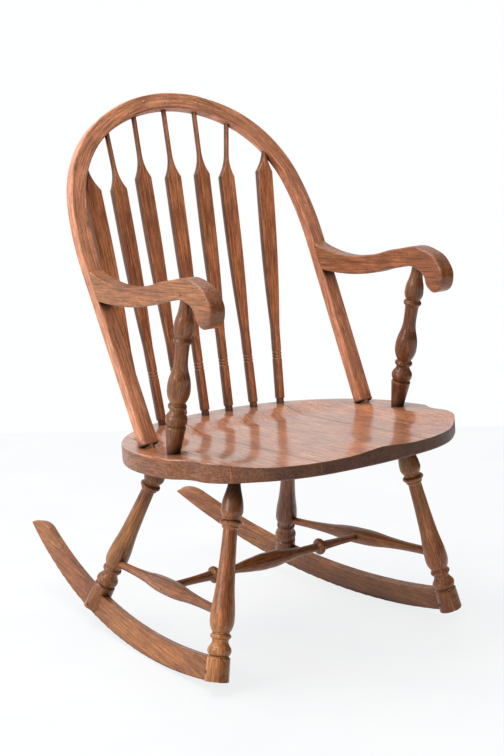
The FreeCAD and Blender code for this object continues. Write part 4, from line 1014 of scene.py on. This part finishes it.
class CHAIR_OT_fixings(bpy.types.Operator):
    """Finish the wooden pins and the screws of the arms"""
    bl_idname = "chair.fixings"
    bl_label = "Pins and screws"

    def execute(self, context):
        for name in WOODEN_PINS:
            give_wood(name, PIN_WOOD, PIN_GRAIN_LINE)
        for name in SCREWS:
            give(name, steel())
        return {"FINISHED"}


class CHAIR_OT_brads(bpy.types.Operator):
    """Set the brads that hold the spindles in the hoop, and the plug low on its left leg"""
    bl_idname = "chair.brads"
    bl_label = "Brads and plug"

    def execute(self, context):
        sizes = context.scene.chair_brads
        spots = [on_node("hoop", *sight_line(mark)) for mark in BRAD_MARKS]
        disc_heads("hoop_brads", spots, sizes.head_width, sizes.head_height, sizes.sunk, steel())
        plug_wood = wood("plug wood", straight_grain(Vector(), Euler(), Vector()), **PLUG_WOOD)
        spots = [on_node("hoop", *sight_line(PLUG_MARK))]
        disc_heads("hoop_plug", spots, sizes.plug_width, sizes.plug_height, sizes.sunk, plug_wood)
        return {"FINISHED"}


class CHAIR_OT_studio(bpy.types.Operator):
    """Lay the pale floor, hang the soft lamps and set up the camera"""
    bl_idname = "chair.studio"
    bl_label = "Studio"

    def execute(self, context):
        studio = context.scene.chair_studio
        lay_floor(studio)
        hang_lamp("key lamp", studio.key, KEY_SIZE, KEY_PLACE, KEY_AIM)
        hang_lamp("window lamp", studio.window, WINDOW_SIZE, WINDOW_PLACE, WINDOW_AIM)
        light_room(context.scene, studio)
        camera = bpy.data.cameras.new("camera")
        camera.lens = studio.lens
        camera.sensor_width = SENSOR
        holder = bpy.data.objects.new("camera", camera)
        holder.location = studio.camera_place
        holder.rotation_euler = studio.camera_turn
        context.scene.collection.objects.link(holder)
        context.scene.camera = holder
        context.scene.view_settings.view_transform = "Standard"
        return {"FINISHED"}


def lay_floor(studio):
    """A square floor whose far edge is the line where the photographed floor meets the wall."""
    shape = bmesh.new()
    bmesh.ops.create_grid(shape, x_segments=2, y_segments=2, size=studio.floor_length / 2)
    corner = Vector(WALL_POINT)
    run = Vector(WALL_RUN).normalized()
    inward = Vector((-run.y, run.x, 0))
    if inward.dot(corner) > 0:
        inward = -inward
    middle = corner + run * WALL_SHIFT + inward * studio.floor_length / 2
    turn = Matrix.Rotation(math.atan2(run.y, run.x), 4, "Z")
    bmesh.ops.transform(shape, matrix=Matrix.Translation(middle) @ turn, verts=shape.verts[:])
    bmesh.ops.recalc_face_normals(shape, faces=shape.faces[:])
    if sum(face.normal.z for face in shape.faces) < 0:
        bmesh.ops.reverse_faces(shape, faces=shape.faces[:])
    mesh = bpy.data.meshes.new("floor")
    shape.to_mesh(mesh)
    shape.free()
    mesh.materials.append(painted_floor(studio))
    floor = bpy.data.objects.new("floor", mesh)
    bpy.context.scene.collection.objects.link(floor)


def hang_lamp(name, watts, size, place, aim):
    lamp = bpy.data.lights.new(name, "AREA")
    lamp.energy = watts
    lamp.shape = "DISK"
    lamp.size = size
    holder = bpy.data.objects.new(name, lamp)
    holder.location = place
    holder.rotation_euler = (Vector(place) - Vector(aim)).to_track_quat("Z", "Y").to_euler()
    bpy.context.scene.collection.objects.link(holder)


def light_room(scene, studio):
    """Daylight from above, behind and the left, which the camera sees as a white wall."""
    world = bpy.data.worlds.new("studio")
    world.use_nodes = True
    world.node_tree.nodes.clear()
    shader = Shader(world.node_tree)
    path = shader.node("ShaderNodeLightPath")
    aim = shader.node("ShaderNodeTexCoord").outputs["Generated"]
    toward = shader.vector_math("DOT_PRODUCT", aim, Vector(BRIGHT_SIDE).normalized())
    strength = shader.spread(toward, *BRIGHT_REACH, studio.shade, studio.daylight)
    strength = shader.math("MAXIMUM", strength, path.outputs["Is Camera Ray"])
    ground = shader.node("ShaderNodeBackground", Color=WALL_WHITE, Strength=strength)
    shader.node("ShaderNodeOutputWorld", Surface=ground.outputs["Background"])
    scene.world = world


class CHAIR_PT_panel(bpy.types.Panel):
    """The chair's pieces, finishes and studio"""
    bl_idname = "CHAIR_PT_panel"
    bl_label = "Rocking Chair"
    bl_space_type = "VIEW_3D"
    bl_region_type = "UI"
    bl_category = "Rocking Chair"

    def draw(self, context):
        for group, kind in GROUPS.items():
            for name in kind.__annotations__:
                self.layout.prop(getattr(context.scene, group), name)
        for operator in OPERATORS:
            self.layout.operator(operator.bl_idname)


GROUPS = {"chair_finish": ChairFinish, "chair_hoop_feet": HoopFootSizes,
          "chair_spindles": SpindleSizes, "chair_brads": BradSizes, "chair_studio": StudioSettings}
OPERATORS = [CHAIR_OT_hoop, CHAIR_OT_spindles, CHAIR_OT_seat, CHAIR_OT_arms, CHAIR_OT_turnings,
             CHAIR_OT_rockers, CHAIR_OT_fixings, CHAIR_OT_brads, CHAIR_OT_studio]


def register():
    for kind in list(GROUPS.values()) + OPERATORS + [CHAIR_PT_panel]:
        bpy.utils.register_class(kind)
    for name, kind in GROUPS.items():
        setattr(bpy.types.Scene, name, PointerProperty(type=kind))


def unregister():
    for name in GROUPS:
        delattr(bpy.types.Scene, name)
    for kind in reversed(list(GROUPS.values()) + OPERATORS + [CHAIR_PT_panel]):
        bpy.utils.unregister_class(kind)


def main():
    register()
    for operator in OPERATORS:
        group, name = operator.bl_idname.split(".")
        if "FINISHED" not in getattr(getattr(bpy.ops, group), name)():
            raise RuntimeError("%s did not finish" % operator.bl_label)


if __name__ == "__main__":
    main()
